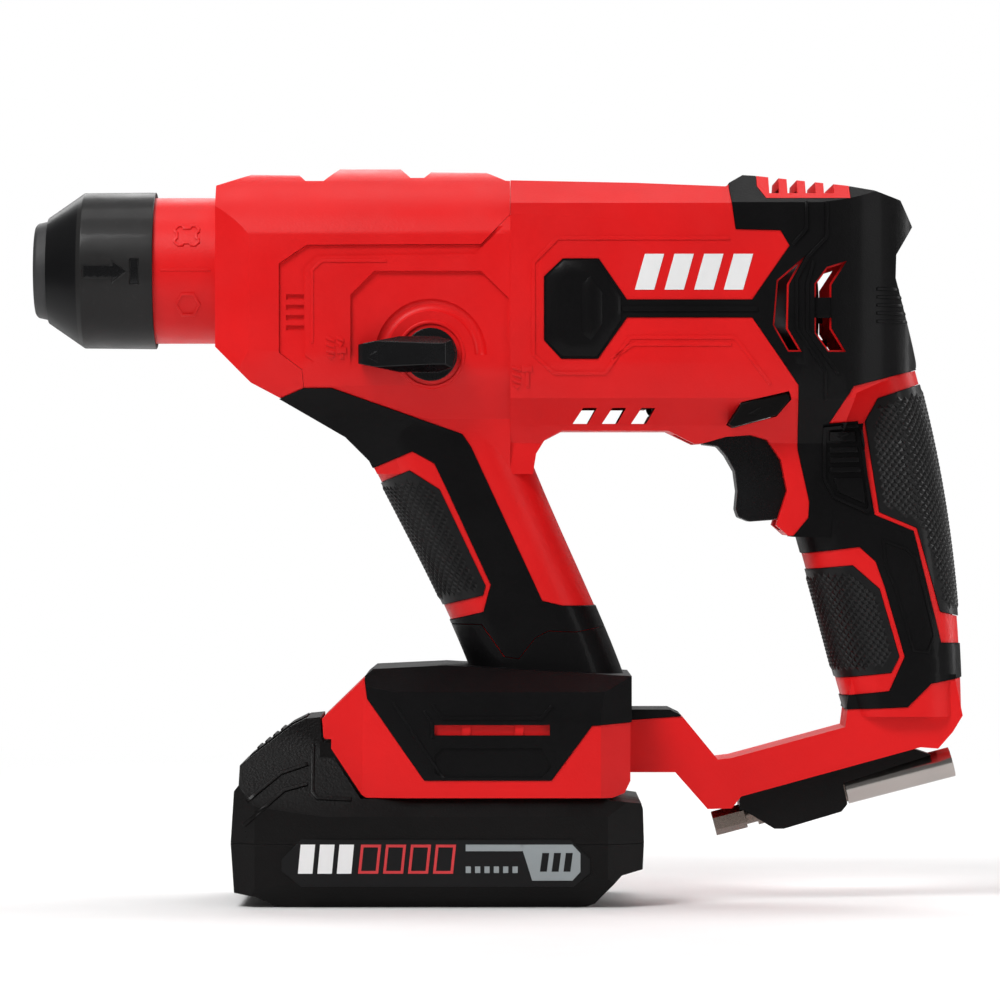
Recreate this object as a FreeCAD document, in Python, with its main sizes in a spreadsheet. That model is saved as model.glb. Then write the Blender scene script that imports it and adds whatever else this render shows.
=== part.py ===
"""Cordless rotary hammer with a slide-on battery pack, as separate solids in millimetres.

+X runs from the chuck to the rear handle, +Z is up and -Y is the operator's left-hand side.
The origin is the mouth of the bit socket, on the spindle axis.
"""
import FreeCAD
import Part
import Sketcher
import math
import os
import re

Vector = FreeCAD.Vector
Rotation = FreeCAD.Rotation

# Driving dimensions. Every value below is one cell of the sheet "Dims".
DIMENSIONS = {
    # shells and the trims that sit in them
    "wall": 2.6, "trim_depth": 1.2, "trim_rise": 0.4, "trim_gap": 0.15, "split_gap": 0.1,
    "run": 0.05, "big": 300, "rib": 2, "boss_r": 4.6, "screw_r": 1.5, "screw_head_r": 2.8,
    "panel_depth": 1.2, "channel_depth": 1.0, "gill_depth": 1.9,
    # nose and chuck
    "bit_r": 5.05, "nose_tube_r": 9.5, "cap_r": 14.5, "cap_len": 6.5,
    "collar_front": 3.8, "collar_rear": 35.6, "collar_r": 23.1, "collar_cone_r": 15.5,
    "mark_depth": 0.5, "neck_r": 21.5,
    "ball_r": 3, "ball_x": 22, "ball_bite": 1.4,
    # spindle line
    "tube_r": 14, "tube_bore": 11, "tube_front": 60, "tube_rear": 115,
    "bolt_r": 7.45, "ram_r": 8.45, "piston_inner": 8.5, "piston_r": 10.95,
    "pin_r": 4.2,
    # layshaft and gears
    "lay_z": -27, "lay_r": 4.5, "lay_thin_r": 3, "lay_front": 75, "lay_rear": 148.5,
    "spindle_teeth": 43, "low_pinion_teeth": 11, "low_module": 1.0,
    "gear_x": 81, "gear_width": 9, "pressure_angle": 25, "addendum": 0.8, "dedendum": 1.05,
    "backlash": 0.03,
    "lay_gear_teeth": 31, "motor_pinion_teeth": 9, "high_module": 0.75,
    "high_x": 133.5, "high_width": 6,
    "wobble_x": 122, "wobble_sphere": 9, "finger_r": 3,
    "sleeve_x": 95, "sleeve_len": 8.5, "sleeve_r": 9,
    "front_plate_x": 75, "rear_plate_x": 144, "tube_plate_x": 108,
    "plate_thick": 4.5,
    # motor
    "motor_z": -12, "motor_r": 19, "motor_front": 167, "motor_len": 57, "shaft_r": 3,
    "bearing_r": 7, "bearing_width": 4.5, "fan_x": 156, "fan_r": 20, "fan_width": 8,
    # mode knob
    "knob_x": 116.8, "knob_z": -25.4, "knob_r": 7.7, "pin_throw": 2,
    # main body
    "body_half": 28.5, "motor_half": 29, "nose_front": 54, "body_joint": 139.9,
    "body_low": -47.4, "body_rear": 257,
    # trigger group
    "trigger_half": 9,
    # front grip and rear handle: half widths
    "grip_half": 19, "handle_half": 17.2,
    # arm, foot and battery
    "arm_half": 13.5, "foot_half": 36, "foot_low": -153.7, "foot_top": -116,
    "rail_z": -149, "rail_thick": 2.5, "tower_half": 27, "tower_top": -138,
    "pack_top": -153.9, "pack_split": -167, "pack_low": -185.3, "pack_half": 38,
    "pack_wall": 2, "cell_r": 9.2, "cell_len": 65,
    # bit adapter in its clip
    "adapter_x": 200, "adapter_z": -163.1, "adapter_tilt": 14.6, "adapter_r": 4.4, "hex_flats": 6.35,
}

doc = FreeCAD.newDocument("rotary_hammer")
sheet = doc.addObject("Spreadsheet::Sheet", "Dims")
for row, (alias, number) in enumerate(DIMENSIONS.items(), start=1):
    sheet.set(f"A{row}", alias)
    sheet.set(f"B{row}", str(number))
    sheet.setAlias(f"B{row}", alias)
doc.recompute()

NODES = []


# ---------------------------------------------------------------- helpers

def size(expression):
    """A number, or an expression over the sheet's aliases, as a float."""
    if isinstance(expression, (int, float)):
        return float(expression)
    value = sheet.evalExpression(expression)
    return float(getattr(value, "Value", value))


def linked(expression):
    """The same expression with each alias pointing at the sheet."""
    return re.sub(r"[a-z_]+", lambda m: "Dims." + m[0] if m[0] in DIMENSIONS else m[0], str(expression))


def bind(target, name, expression):
    target.setExpression(name, linked(expression))


def place(target, at=(0, 0, 0), axis=(0, 0, 1), angle=0):
    """Puts an object at a point made of expressions, turned about an axis."""
    spot = Vector(*[size(v) for v in at])
    target.Placement = FreeCAD.Placement(spot, Rotation(Vector(*axis), angle))
    for letter, value in zip("xyz", at):
        if isinstance(value, str):
            bind(target, f"Placement.Base.{letter}", value)
    return target


def make(kind, name, at=(0, 0, 0), axis=(0, 0, 1), angle=0, **sizes):
    """A Part primitive whose sizes are bound to the sheet."""
    target = doc.addObject("Part::" + kind, name)
    for key, value in sizes.items():
        bind(target, key, value)
    return place(target, at, axis, angle)


def box(name, x, y, z):
    """A box from three (low, high) pairs of expressions."""
    spans = {"Length": x, "Width": y, "Height": z}
    sizes = {key: f"({high}) - ({low})" for key, (low, high) in spans.items()}
    return make("Box", name, at=tuple(str(low) for low, high in (x, y, z)), **sizes)


def rod(name, at, length, radius, along="x"):
    """A cylinder that starts at a point and runs along +x, +y or +z."""
    turn = {"x": ((0, 1, 0), 90), "y": ((1, 0, 0), -90), "z": ((0, 0, 1), 0)}[along]
    return make("Cylinder", name, at, *turn, Radius=radius, Height=length)


def cut(name, base, *tools):
    result = doc.addObject("Part::Cut", name)
    result.Base = base
    result.Tool = tools[0] if len(tools) == 1 else fuse(name + "_tools", *tools)
    return result


def fuse(name, *shapes):
    result = doc.addObject("Part::MultiFuse", name)
    result.Shapes = list(shapes)
    result.Refine = True
    return result


def common(name, *shapes):
    result = doc.addObject("Part::MultiCommon", name)
    result.Shapes = list(shapes)
    return result


def group(name, *shapes):
    result = doc.addObject("Part::Compound", name)
    result.Links = list(shapes)
    return result


def node(target, label):
    """Marks an object as one sub-part of the hammer."""
    target.Label = label
    NODES.append(target)
    return target


def draw(sketch, points):
    """Draws a closed outline. A point is (a, b), or (a, b, radius) to arrive there on an arc;
    a positive radius turns left on the way and a negative one turns right."""
    spots = [Vector(size(p[0]), size(p[1]), 0) for p in points]
    count = len(points)
    for i, start in enumerate(spots):
        end = spots[(i + 1) % count]
        target = points[(i + 1) % count]
        if len(target) == 2:
            sketch.addGeometry(Part.LineSegment(start, end))
            continue
        radius = size(target[2])
        chord = end - start
        across = Vector(-chord.y, chord.x, 0).normalize()
        height = math.sqrt(max(radius ** 2 - (chord.Length / 2) ** 2, 0))
        centre = (start + end) * 0.5 + across * math.copysign(height, radius)
        outward = ((start + end) * 0.5 - centre)
        if outward.Length < 1e-9:
            outward = across * -math.copysign(1, radius)
        middle = centre + outward.normalize() * abs(radius)
        sketch.addGeometry(Part.Arc(start, middle, end))
    ends = [arc_ends(sketch.Geometry[i], spots[i]) for i in range(count)]
    for i in range(count):
        after = (i + 1) % count
        sketch.addConstraint(Sketcher.Constraint("Coincident", i, ends[i][1], after, ends[after][0]))
    for i, point in enumerate(points):
        for kind, value in zip(("DistanceX", "DistanceY"), point[:2]):
            where = sketch.addConstraint(Sketcher.Constraint(kind, -1, 1, i, ends[i][0], size(value)))
            if isinstance(value, str):
                sketch.setExpression(f"Constraints[{where}]", linked(value))
    for i in range(count):
        target = points[(i + 1) % count]
        if len(target) == 3:
            radius = sketch.addConstraint(Sketcher.Constraint("Radius", i, abs(size(target[2]))))
            if isinstance(target[2], str):
                sketch.setExpression(f"Constraints[{radius}]", linked(target[2].lstrip("-")))
    return sketch


def arc_ends(curve, start):
    """(position of the end that lies at start, position of the other end) of one sketch curve."""
    return (1, 2) if (curve.StartPoint - start).Length < 1e-6 else (2, 1)


PLANES = {"side": "XZ_Plane", "plan": "XY_Plane", "section": "YZ_Plane"}
TURNS = {
    "side": Rotation(Vector(1, 0, 0), 90),
    "plan": Rotation(),
    "section": Rotation(Vector(1, 1, 1), 120),
}


def body_sketch(body, name, view, points, offset=0):
    """A sketch on one of the body's own origin planes, moved along the plane's normal."""
    sketch = body.newObject("Sketcher::SketchObject", name)
    plane = [f for f in body.Origin.OriginFeatures if f.Role == PLANES[view]][0]
    sketch.AttachmentSupport = [(plane, "")]
    sketch.MapMode = "FlatFace"
    sketch.AttachmentOffset = FreeCAD.Placement(Vector(0, 0, size(offset)), Rotation())
    return draw(sketch, points)


def turned(name, points, z=0, y=0):
    """A body revolved about a line along X; points are (x, radius)."""
    body = doc.addObject("PartDesign::Body", name)
    sketch = body_sketch(body, name + "_profile", "side", points)
    turn = body.newObject("PartDesign::Revolution", name + "_turn")
    turn.Profile = sketch
    turn.ReferenceAxis = (sketch, ["H_Axis"])
    turn.Angle = 360
    return place(body, (0, y, z))


def tube(name, x0, x1, inner, outer, z=0, y=0):
    return turned(name, [(x0, inner), (x1, inner), (x1, outer), (x0, outer)], z, y)


def padded(name, view, points, low, high):
    """A body made by padding an outline between two places along the view's axis."""
    body = doc.addObject("PartDesign::Body", name)
    start = f"-({high})" if view == "side" else low
    sketch = body_sketch(body, name + "_outline", view, points, start)
    pad = body.newObject("PartDesign::Pad", name + "_pad")
    pad.Profile = sketch
    bind(pad, "Length", f"({high}) - ({low})")
    return body


def free_sketch(name, view, points, offset=0):
    sketch = doc.addObject("Sketcher::SketchObject", name)
    normal = {"side": Vector(0, -1, 0), "plan": Vector(0, 0, 1), "section": Vector(1, 0, 0)}[view]
    sketch.Placement = FreeCAD.Placement(normal * size(offset), TURNS[view])
    return draw(sketch, points)


def grown(sketch, name, grow):
    """The outline moved outwards by grow, or inwards when it is negative."""
    if size(grow) == 0:
        return sketch
    result = doc.addObject("Part::Offset2D", name)
    result.Source = sketch
    bind(result, "Value", grow)
    result.Join = 2
    return result


def prism(name, outline, length):
    """The outline extruded both ways by half the length."""
    result = doc.addObject("Part::Extrusion", name)
    result.Base = outline
    result.DirMode = "Normal"
    result.Solid = True
    result.Symmetric = True
    bind(result, "LengthFwd", length)
    return result


def moved(name, base, at, axis=(0, 0, 1), angle=0):
    """A placed copy of another object."""
    copy = doc.addObject("Part::Compound", name)
    copy.Links = [base]
    return place(copy, at, axis, angle)


def around(name, base, count, z, start=0):
    """Copies of an object turned evenly about a line along X at height z; the object sits about z = 0."""
    return [moved(f"{name}_{i}", base, (0, 0, z), (1, 0, 0), start + 360 * i / count) for i in range(count)]


def spring(name, at, length, radius, wire, turns, axis=(0, 0, 1), angle=0):
    """A coil spring; its two ends lie within the length. It runs along +z before it is turned."""
    helix = make("Helix", name + "_helix", Pitch=f"(({length}) - 2 * ({wire})) / {turns}",
                 Height=f"({length}) - 2 * ({wire})", Radius=radius)
    ring = make("Circle", name + "_wire", (radius, 0, 0), (1, 0, 0), 90, Radius=wire)
    coil = doc.addObject("Part::Sweep", name + "_coil")
    coil.Sections = [ring]
    coil.Spine = (helix, ["Edge1"])
    coil.Solid = True
    coil.Frenet = True
    start = Rotation(Vector(*axis), angle).multVec(Vector(0, 0, size(wire)))
    return moved(name, coil, tuple(f"({v}) + {d:.4f}" for v, d in zip(at, start)), axis, angle)


def wire(name, points, radius):
    """A round lead through several points, with ball joints at the bends."""
    parts = []
    for i, (start, end) in enumerate(zip(points, points[1:])):
        way = Vector(*end) - Vector(*start)
        turn = Rotation(Vector(0, 0, 1), way)
        parts.append(make("Cylinder", f"{name}_{i}", start, tuple(turn.Axis), math.degrees(turn.Angle),
                          Radius=radius, Height=way.Length))
    parts += [make("Sphere", f"{name}_bend_{i}", p, Radius=radius) for i, p in enumerate(points[1:-1])]
    return fuse(name, *parts)


def bearing(name, x, inner, outer, width, z):
    """A ball bearing: two races and a ring of balls touching both."""
    quarter = f"(({outer}) - ({inner})) / 4"
    mid = f"(({outer}) + ({inner})) / 2"
    rear = f"({x}) + ({width})"
    inner_race = tube(name + "_inner", x, rear, inner, f"({inner}) + {quarter}", z)
    outer_race = tube(name + "_outer", x, rear, f"({outer}) - {quarter}", outer, z)
    ball = make("Sphere", name + "_ball", (f"({x}) + ({width}) / 2", 0, mid), Radius=quarter)
    count = int(math.pi * size(mid) / size(quarter) / 1.2)
    return group(name, inner_race, outer_race, *around(name + "_balls", ball, count, z))


def tooth(teeth, module):
    """One gear tooth pointing along +z, with involute flanks."""
    pitch = module * teeth / 2
    pressure = math.radians(size("pressure_angle"))
    base = pitch * math.cos(pressure)
    root = pitch - module * size("dedendum")
    tip = pitch + module * size("addendum")
    half_pitch = math.pi / (2 * teeth) - size("backlash") / pitch
    first = max(base, root)
    flank = []
    for step in range(5):
        radius = first + (tip - first) * step / 4
        at = math.acos(base / radius)
        half = half_pitch + (math.tan(pressure) - pressure) - (math.tan(at) - at)
        if step == 0:
            flank.append(((root - 0.3) * math.sin(half), (root - 0.3) * math.cos(half)))
        flank.append((radius * math.sin(half), radius * math.cos(half)))
    return flank + [(-y, z) for y, z in reversed(flank)]


def gear(name, teeth, module, bore, x, width, z, extra=()):
    """A spur gear on a line along X, a tooth pointing up; extra profile points run along its rear hub."""
    teeth = int(size(teeth))
    module = size(module)
    root = module * (teeth / 2 - size("dedendum"))
    rear = f"({x}) + ({width})"
    hub = list(extra) or [(rear, bore)]
    body = turned(name, [(x, bore)] + hub + [(rear, root), (x, root)], z)
    sketch = body_sketch(body, name + "_tooth", "section", tooth(teeth, module), x)
    pad = body.newObject("PartDesign::Pad", name + "_tooth_pad")
    pad.Profile = sketch
    bind(pad, "Length", width)
    pattern = body.newObject("PartDesign::PolarPattern", name + "_teeth")
    pattern.Originals = [pad]
    pattern.Axis = (sketch, ["N_Axis"])
    pattern.Angle = 360
    pattern.Occurrences = teeth
    body.Tip = pattern
    return body


# ---------------------------------------------------------------- outer form

BARREL_SIDE = [
    ("nose_front", -23), ("nose_front + 10.5", -33.5), (73, -38), (92, -49), (99, -56), (101, -60),
    (146.5, -60), (147.5, -54), (150, -50), (155, "body_low"), (186, "body_low"), (193.8, -51.2),
    (196.4, -51), (203, -49.1), (210.3, -48.6), (215, -50), (219, -56), (220.8, -65), (217.6, -75),
    (221, -78), (233, -78), (236, -50), (240.5, -36.5), (258.8, -28.5), (254.3, -12), (251.8, -3), (252, 4),
    ("body_rear", 12.2), (253.4, 19.4), (245.6, 22.1), (237.6, 23.6), (211, 26.7), (207.8, 26.9),
    (202.6, 23.8), (176.4, 24.9), ("body_joint", 25.7), (138.5, 25.8), (133, 28.4), (116.7, 28.6),
    (114.7, 26.7), (110.7, 26.7), (107.6, 29.8), (89.9, 29.8), (85.3, 25.7), (80, 25.7), (78.2, 27.5),
    ("nose_front + 10", 27.7), ("nose_front", 24.2),
]
NOSE_SECTION = [
    (0, 30, 30), ("-body_half", 9.37, 30), ("-body_half", -24), (-26, -34), ("-grip_half - 0.5", -44),
    (-17, -60), (17, -60), ("grip_half + 0.5", -44), (26, -34), ("body_half", -24), ("body_half", 9.37),
]
MOTOR_SECTION = [
    (-16.6, 27.5), ("-body_half", 18.6), ("-motor_half", 12), ("-motor_half", -28), (-26.5, -38),
    (-20, -46), ("-handle_half", -51), ("-handle_half", -80), ("handle_half", -80),
    ("handle_half", -51), (20, -46), (26.5, -38), ("motor_half", -28), ("motor_half", 12),
    ("body_half", 18.6), (16.6, 27.5),
]
PLAN = [
    ("nose_front", -24), ("nose_front + 10", "-body_half"), (222, "-motor_half"), (250.2, -22, 60),
    (258.7, -7.9, 16), (258.7, 7.9), (250.2, 22, 16), (222, "motor_half", 60), ("nose_front + 10", "body_half"),
    ("nose_front", 24),
]
FOOT_SIDE = [
    (85.6, -136.4), (96.8, "foot_low + 0.9"), (98.1, "foot_low"), (169.5, "foot_low"), (173, -152.4),
    (174.7, -149), (174.7, -119), (121, "foot_top"), (100.3, -117), (97.3, -119.5), (85.2, -131.2),
]
FOOT_SECTION = [
    (-26, "foot_top + 3"), (-26, "foot_top"), ("-foot_half + 0.7", "foot_top - 7.3"),
    ("-foot_half", -131), ("-foot_half", -160), ("foot_half", -160), ("foot_half", -131),
    ("foot_half - 0.7", "foot_top - 7.3"), (26, "foot_top"), (26, "foot_top + 3"),
]
FOOT_PLAN = [
    (84, -25), (97, -33), (110, "-foot_half"), (166, "-foot_half"), (174.7, -30), (174.7, 30),
    (166, "foot_half"), (110, "foot_half"), (97, 33), (84, 25),
]
ARM_SIDE = [
    (168, -147.3), (188.2, -147.3), (197.7, -158.1), (204.8, -157.9), (207.5, -154.4), (260, -140),
    (265.2, -140.4), (269.5, -135.5), (272.4, -130.7), (270, -119), (240, -119),
    (238, -134.1), (204.8, -143.1), (200.7, -143.6), (190.6, -131.3), (186.5, -129.3), (168, -129.3),
]
# Stations of the two grips from the top down: height, front and rear edge, half width.
HANDLE_STATIONS = [
    (-16, 214, 255, "handle_half - 2"), (-50, 217, 264, "handle_half"),
    (-84, 226.3, 269.6, "handle_half - 0.3"), (-106, 232.3, 271.6, "handle_half - 0.6"),
    (-131, 239.3, 272.6, "handle_half"),
]
GRIP_STATIONS = [
    (-42, 92, 141, "grip_half"), (-80, 111.3, 156.4, "grip_half - 0.6"),
    (-104, 123, 167, "grip_half - 0.4"), (-124, 131, 174.7, "grip_half + 1"),
]


def limb(name, stations, grow):
    """A grip lofted through rounded rectangles that lie level."""
    sections = []
    for i, (z, front, rear, half) in enumerate(stations):
        low, high = f"{front} - ({grow})", f"{rear} + ({grow})"
        side = f"{half} + ({grow})"
        corner = f"({half} + ({grow})) * 0.72"
        outline = [
            (f"{low} + {corner}", f"-({side})"), (f"{high} - {corner}", f"-({side})"),
            (high, f"-({side}) + {corner}", corner), (high, f"({side}) - {corner}"),
            (f"{high} - {corner}", side, corner), (f"{low} + {corner}", side),
            (low, f"({side}) - {corner}", corner), (low, f"-({side}) + {corner}"),
        ]
        outline[0] = outline[0] + (corner,)
        sections.append(free_sketch(f"{name}_{i}", "plan", outline, z))
    loft = doc.addObject("Part::Loft", name)
    loft.Sections = sections
    loft.Solid = True
    return loft


base_outlines = {
    "barrel": free_sketch("barrel_side", "side", BARREL_SIDE),
    "nose_section": free_sketch("nose_section", "section", NOSE_SECTION),
    "motor_section": free_sketch("motor_section", "section", MOTOR_SECTION),
    "plan": free_sketch("barrel_plan", "plan", PLAN),
    "foot_side": free_sketch("foot_side", "side", FOOT_SIDE),
    "foot_section": free_sketch("foot_section", "section", FOOT_SECTION),
    "foot_plan": free_sketch("foot_plan", "plan", FOOT_PLAN),
    "arm": free_sketch("arm_side", "side", ARM_SIDE),
}


def envelope(tag, grow):
    """The whole outer form, moved outwards by grow."""
    def wide(key, length="big * 2"):
        return prism(f"{key}_{tag}_prism", grown(base_outlines[key], f"{key}_{tag}", grow), length)

    nose = common(f"nose_{tag}", wide("nose_section"),
                  box(f"nose_span_{tag}", (0, "body_joint"), (-60, 60), (-70, 60)))
    motor = common(f"motor_{tag}", wide("motor_section"),
                   box(f"motor_span_{tag}", ("body_joint", 300), (-60, 60), (-90, 60)))
    sections = fuse(f"sections_{tag}", nose, motor)
    barrel = common(f"barrel_{tag}_form", wide("barrel"), wide("plan"), sections)
    foot = common(f"foot_{tag}", wide("foot_side"), wide("foot_section"), wide("foot_plan"))
    arm = wide("arm", f"(arm_half + ({grow})) * 2")
    handle = limb(f"handle_{tag}", HANDLE_STATIONS, grow)
    grip = limb(f"grip_{tag}", GRIP_STATIONS, grow)
    return fuse(f"envelope_{tag}", barrel, foot, arm, handle, grip)


# ---------------------------------------------------------------- regions seen from the side

FRONT_REGION = [
    (40, -60), (73.5, -60), (79.9, -35), (79.4, -29.8), (72.8, -24.8), (72.8, 1), (80.8, 6.4),
    (131.4, 6.6), ("body_joint", 15.5), ("body_joint", 40), (40, 40),
]
REAR_TRIM = [
    (285, 40), (285, -117.5), (263, -121.3), (256, -128.2), (225, -129.6), (205, -90), (221, -80),
    (226.9, -72.8), (227.2, -68.3), (223.8, -53), (223.5, -34.3), (210, -14.7), (173.8, -14.7),
    (165.3, -26.7), (154.6, -26.7), (149.6, -21.3), (149.6, -2.7), (155.1, 2.5), (165.6, 2.5),
    (173.8, -9.4), (210, -9.4), (220.8, 6.2), (218.2, 10.6), (205.2, 10.9), (203.5, 23), (203.5, 40),
]
HANDLE_BACK_WINDOW = [
    (241.5, -44.5), (246.4, -71.9), (257.8, -76.6), (266, -109.2), (290, -110.5), (290, -21.5),
    (239.7, -34.6), (232.9, -45.3),
]
HANDLE_FRONT_WINDOW = [
    (205, -128.4), (250.6, -123.4), (255.1, -113.4), (249.3, -93.2), (246.6, -85.6), (241.9, -81.4),
    (205, -85.8),
]
HANDLE_BACK_PAD = [
    (243.4, -44.7), (247.6, -71.2), (258.6, -75.8), (265.6, -100.3), (290, -106.2), (290, -23.5),
    (247.2, -37.8),
]
HANDLE_FRONT_PAD = [
    (205, -123), (251.3, -118.2), (253.7, -113.4), (247.9, -93.5), (240, -86.6), (205, -89.8),
]
FRONT_TRIM = [
    (60, -80), (105, -104), (131.5, -104), (138.2, -113.4), (142.4, -114), (147.2, -107.9),
    (151, -105.9), (159.1, -106.2), (190, -100.6), (190, -98.4), (155.3, -98.4), (149.3, -97),
    (128.6, -52.1), (126, -48.3), (88, -35), (79.9, -35), (72.9, -38), (60, -40),
]
GRIP_WINDOW = [
    (90, -110.5), (132, -100.2), (134.1, -92.4), (120.9, -63.7), (117.7, -57), (111.3, -53.5),
    (90, -62.5),
]
GRIP_PAD = [
    (85, -107.2), (132, -95.5), (132.8, -92.6), (119.4, -64.5), (110.5, -58.9), (85, -69.2),
]
FOOT_TRIM = [
    (97.6, -119), (98.4, -125.1), (115, -148.7), (151.8, -148.7), (163.5, -132.9), (190, -131),
    (190, -100.5), (159.1, -106.1), (151, -105.8), (147.2, -107.8), (142.4, -113.9), (138.2, -113.3),
    (131.5, -103.9), (97, -103.9),
]
GRILLE_REGION = [
    (238, 40), (238.6, 20.1), (214.2, 20.1), (211.7, 23.8), (211.7, 40),
]
VENT_FRONT = [
    (223.6, 1), (217.6, -4.1), (216.5, -16.8), (220.7, -24.1), (223.6, -24.1), (219.9, -17.9),
    (220.2, -5),
]
VENT_REAR = [
    (236.5, 1), (232, -0.4), (228.6, -5), (228.6, -19.1), (232.3, -24.1), (236.5, -24.1),
    (232.6, -17.9), (232.6, -5),
]
LOW_VENT = [(-0.4, -45.4), (4, -45.4), (6.6, -40.8), (2.6, -40.8)]
SELECTOR = [(203.2, -45.6), (204.6, -46.4), (217.3, -43), (221.3, -38.2), (220.7, -36.3), (207.2, -39.4)]
FOOT_PANEL = [
    (118, -141.5), (118, -146.4), (120.4, -147.7), (149.3, -147.7), (151.8, -144.6), (149, -139.2),
    (120, -139.2),
]
COLLAR_ARROW = [(15.2, -3), (23.8, -3), (23.8, -4.5), (28.2, -1), (23.8, 2.5), (23.8, 1), (15.2, 1)]
FRONT_CHANNEL = [
    (60, -32), (79.5, -30.3), (83, -27.5), (80.4, -25.6), (80.4, -0.2), (83.7, 3.1), (129.6, 3.8),
    (139.9, 14), (139.9, 20), (60, 20),
]
KNOB_PANEL = [(93.5, -31), (139.4, -31), (139.4, -9), (131.4, -1.1), (100.4, -1.1), (93.5, -8)]
TRIMS = {
    "rear_overmould": (REAR_TRIM, [HANDLE_BACK_WINDOW, HANDLE_FRONT_WINDOW], True),
    "front_overmould": (FRONT_TRIM, [GRIP_WINDOW], True),
    "handle_back_pad": (HANDLE_BACK_PAD, [], False),
    "handle_front_pad": (HANDLE_FRONT_PAD, [], False),
    "front_grip_pad": (GRIP_PAD, [], False),
    "foot_cover": (FOOT_TRIM, [], False),
}
SCREW_SPOTS = [
    (160, 17.5), (196, 15.5), (183, -40.5), (116, -64), (143, -68), (249, -38), (252, -88), (255, -124),
    (104, -131), (158, -122), (190, -136),
]


def area(name, points, grow=0, width="big"):
    """A prism right across the tool over a side outline."""
    return prism(name, grown(free_sketch(name + "_outline", "side", points), name + "_grown", grow), width)


def side_cuts(name, outline, face, depth):
    """Two cutters that sink an outline into the left and right sides, whose faces are at |y| = face."""
    length = f"2 * (50 - {face} + {depth})"
    return [prism(f"{name}_{i}", free_sketch(f"{name}_outline_{i}", "side", outline, sign * 50), length)
            for i, sign in enumerate((1, -1))]


def across(name, spots, radius, low, high):
    """Cylinders along Y at several side positions."""
    length = f"({high}) - ({low})"
    return [rod(f"{name}_{i}", (x, low, z), length, radius, "y") for i, (x, z) in enumerate(spots)]


def vents(name, grow):
    """The through slots: two cranked ones at the rear of the motor and three slanted ones below the fan."""
    slots = [area(f"{name}_front", VENT_FRONT, grow), area(f"{name}_rear", VENT_REAR, grow)]
    low = area(f"{name}_low", LOW_VENT)
    return slots + [moved(f"{name}_low_{i}", low, (158.5 + 8.5 * i, 0, 0)) for i in range(3)]


def trim_seats(seat):
    """What the trims need cut out of the shells."""
    seats = []
    for name, (outline, windows, _) in TRIMS.items():
        form = area(name + "_seat", outline)
        if windows:
            kept = [area(f"{name}_keep_{i}", w) for i, w in enumerate(windows)]
            form = cut(name + "_seat_open", form, *kept)
        seats.append(form)
    return cut("trim_seats", fuse("trim_regions", *seats), seat)


def trims(skin, halves, trigger_way, tower_way):
    """Soft mouldings, each flush in its own recess; the two overmoulds are split like the shells."""
    holes = fuse("trim_screw_ways", *across("trim_screw_way", SCREW_SPOTS, 3.3, 0, 60))
    selector_way = area("trim_selector_way", SELECTOR, 0.9)
    openings = {
        "rear_overmould": vents("trim_vents", 0.5)[:2] + [
            area("trim_grille_way", GRILLE_REGION, "trim_gap"), selector_way, trigger_way],
        "foot_cover": [box("foot_window", (118, 151.3), (-60, 60), (-135.6, -132.6)), tower_way,
                       cut("foot_panel", area("foot_panel_form", FOOT_PANEL),
                           box("foot_panel_keep", (0, 300), (-35.7, 35.7), (-300, 0)))],
    }
    for name, (outline, windows, split) in TRIMS.items():
        form = area(name + "_form", outline, "-trim_gap")
        tools = [area(f"{name}_window_{i}", w, "trim_gap") for i, w in enumerate(windows)]
        form = cut(name + "_open", form, holes, *tools, *openings.get(name, []))
        if not split:
            node(common(name + "_skin", skin, form), name)
            continue
        for side, half in halves.items():
            node(common(f"{name}_{side}", skin, form, half), f"{side}_{name}")


def frame_forms(outer, trigger_way, tower_way):
    """Pocket walls for the battery tower, ribs round the motor and screw bosses, kept inside the shells."""
    pocket_form = box("pocket_form", (84, 168.7), ("-tower_half - 2.4", "tower_half + 2.4"), (-153, -134.9))
    pocket = cut("pocket_walls", pocket_form, tower_way)
    ribs = [box(f"rib_{i}", (x, f"{x} + rib"), (-40, 40), ("body_low", 40))
            for i, x in enumerate((186, 208))]
    motor_seat = rod("motor_seat", (180, 0, "motor_z"), 60, "motor_r + 0.1")
    stiffeners = cut("stiffeners", fuse("stiffener_forms", *ribs), motor_seat, trigger_way)
    bosses = across("boss", SCREW_SPOTS, "boss_r", -60, 60)
    return common("inside", fuse("inside_forms", pocket, stiffeners, *bosses), outer)


def shell_body(outer, inner, seat, trigger_way, tower_way):
    """The walls of the shells with every opening cut, before they are parted."""
    filled = fuse("shell_filled", cut("hollow", outer, inner), frame_forms(outer, trigger_way, tower_way))
    openings = [
        trim_seats(seat), trigger_way, tower_way,
        box("blade_way", (128, 158), (-20, 20), (-139, -133)),
        area("selector_way", SELECTOR, 0.3),
        area("grille_way", GRILLE_REGION, "trim_gap"),
        *vents("shell_vents", 0),
    ]
    return cut("shell_body", filled, *openings)


def front_housing(body):
    """Gear housing at the nose with the neck that the collar slides over."""
    neck = turned("neck", [
        (33.5, 14.5), (43, 14.5), (43, 15.02), (52.2, 15.02), (52.2, 14.5), (57, 14.5), (57, "neck_r"),
        (33.5, "neck_r"),
    ])
    front = common("front_form", cut("front_open", body, rod("nose_way", (50, 0, 0), 12, 15.02)),
                   area("front_region", FRONT_REGION, "-split_gap / 2"))
    node(fuse("front_body", front, neck), "front_housing")


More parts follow.
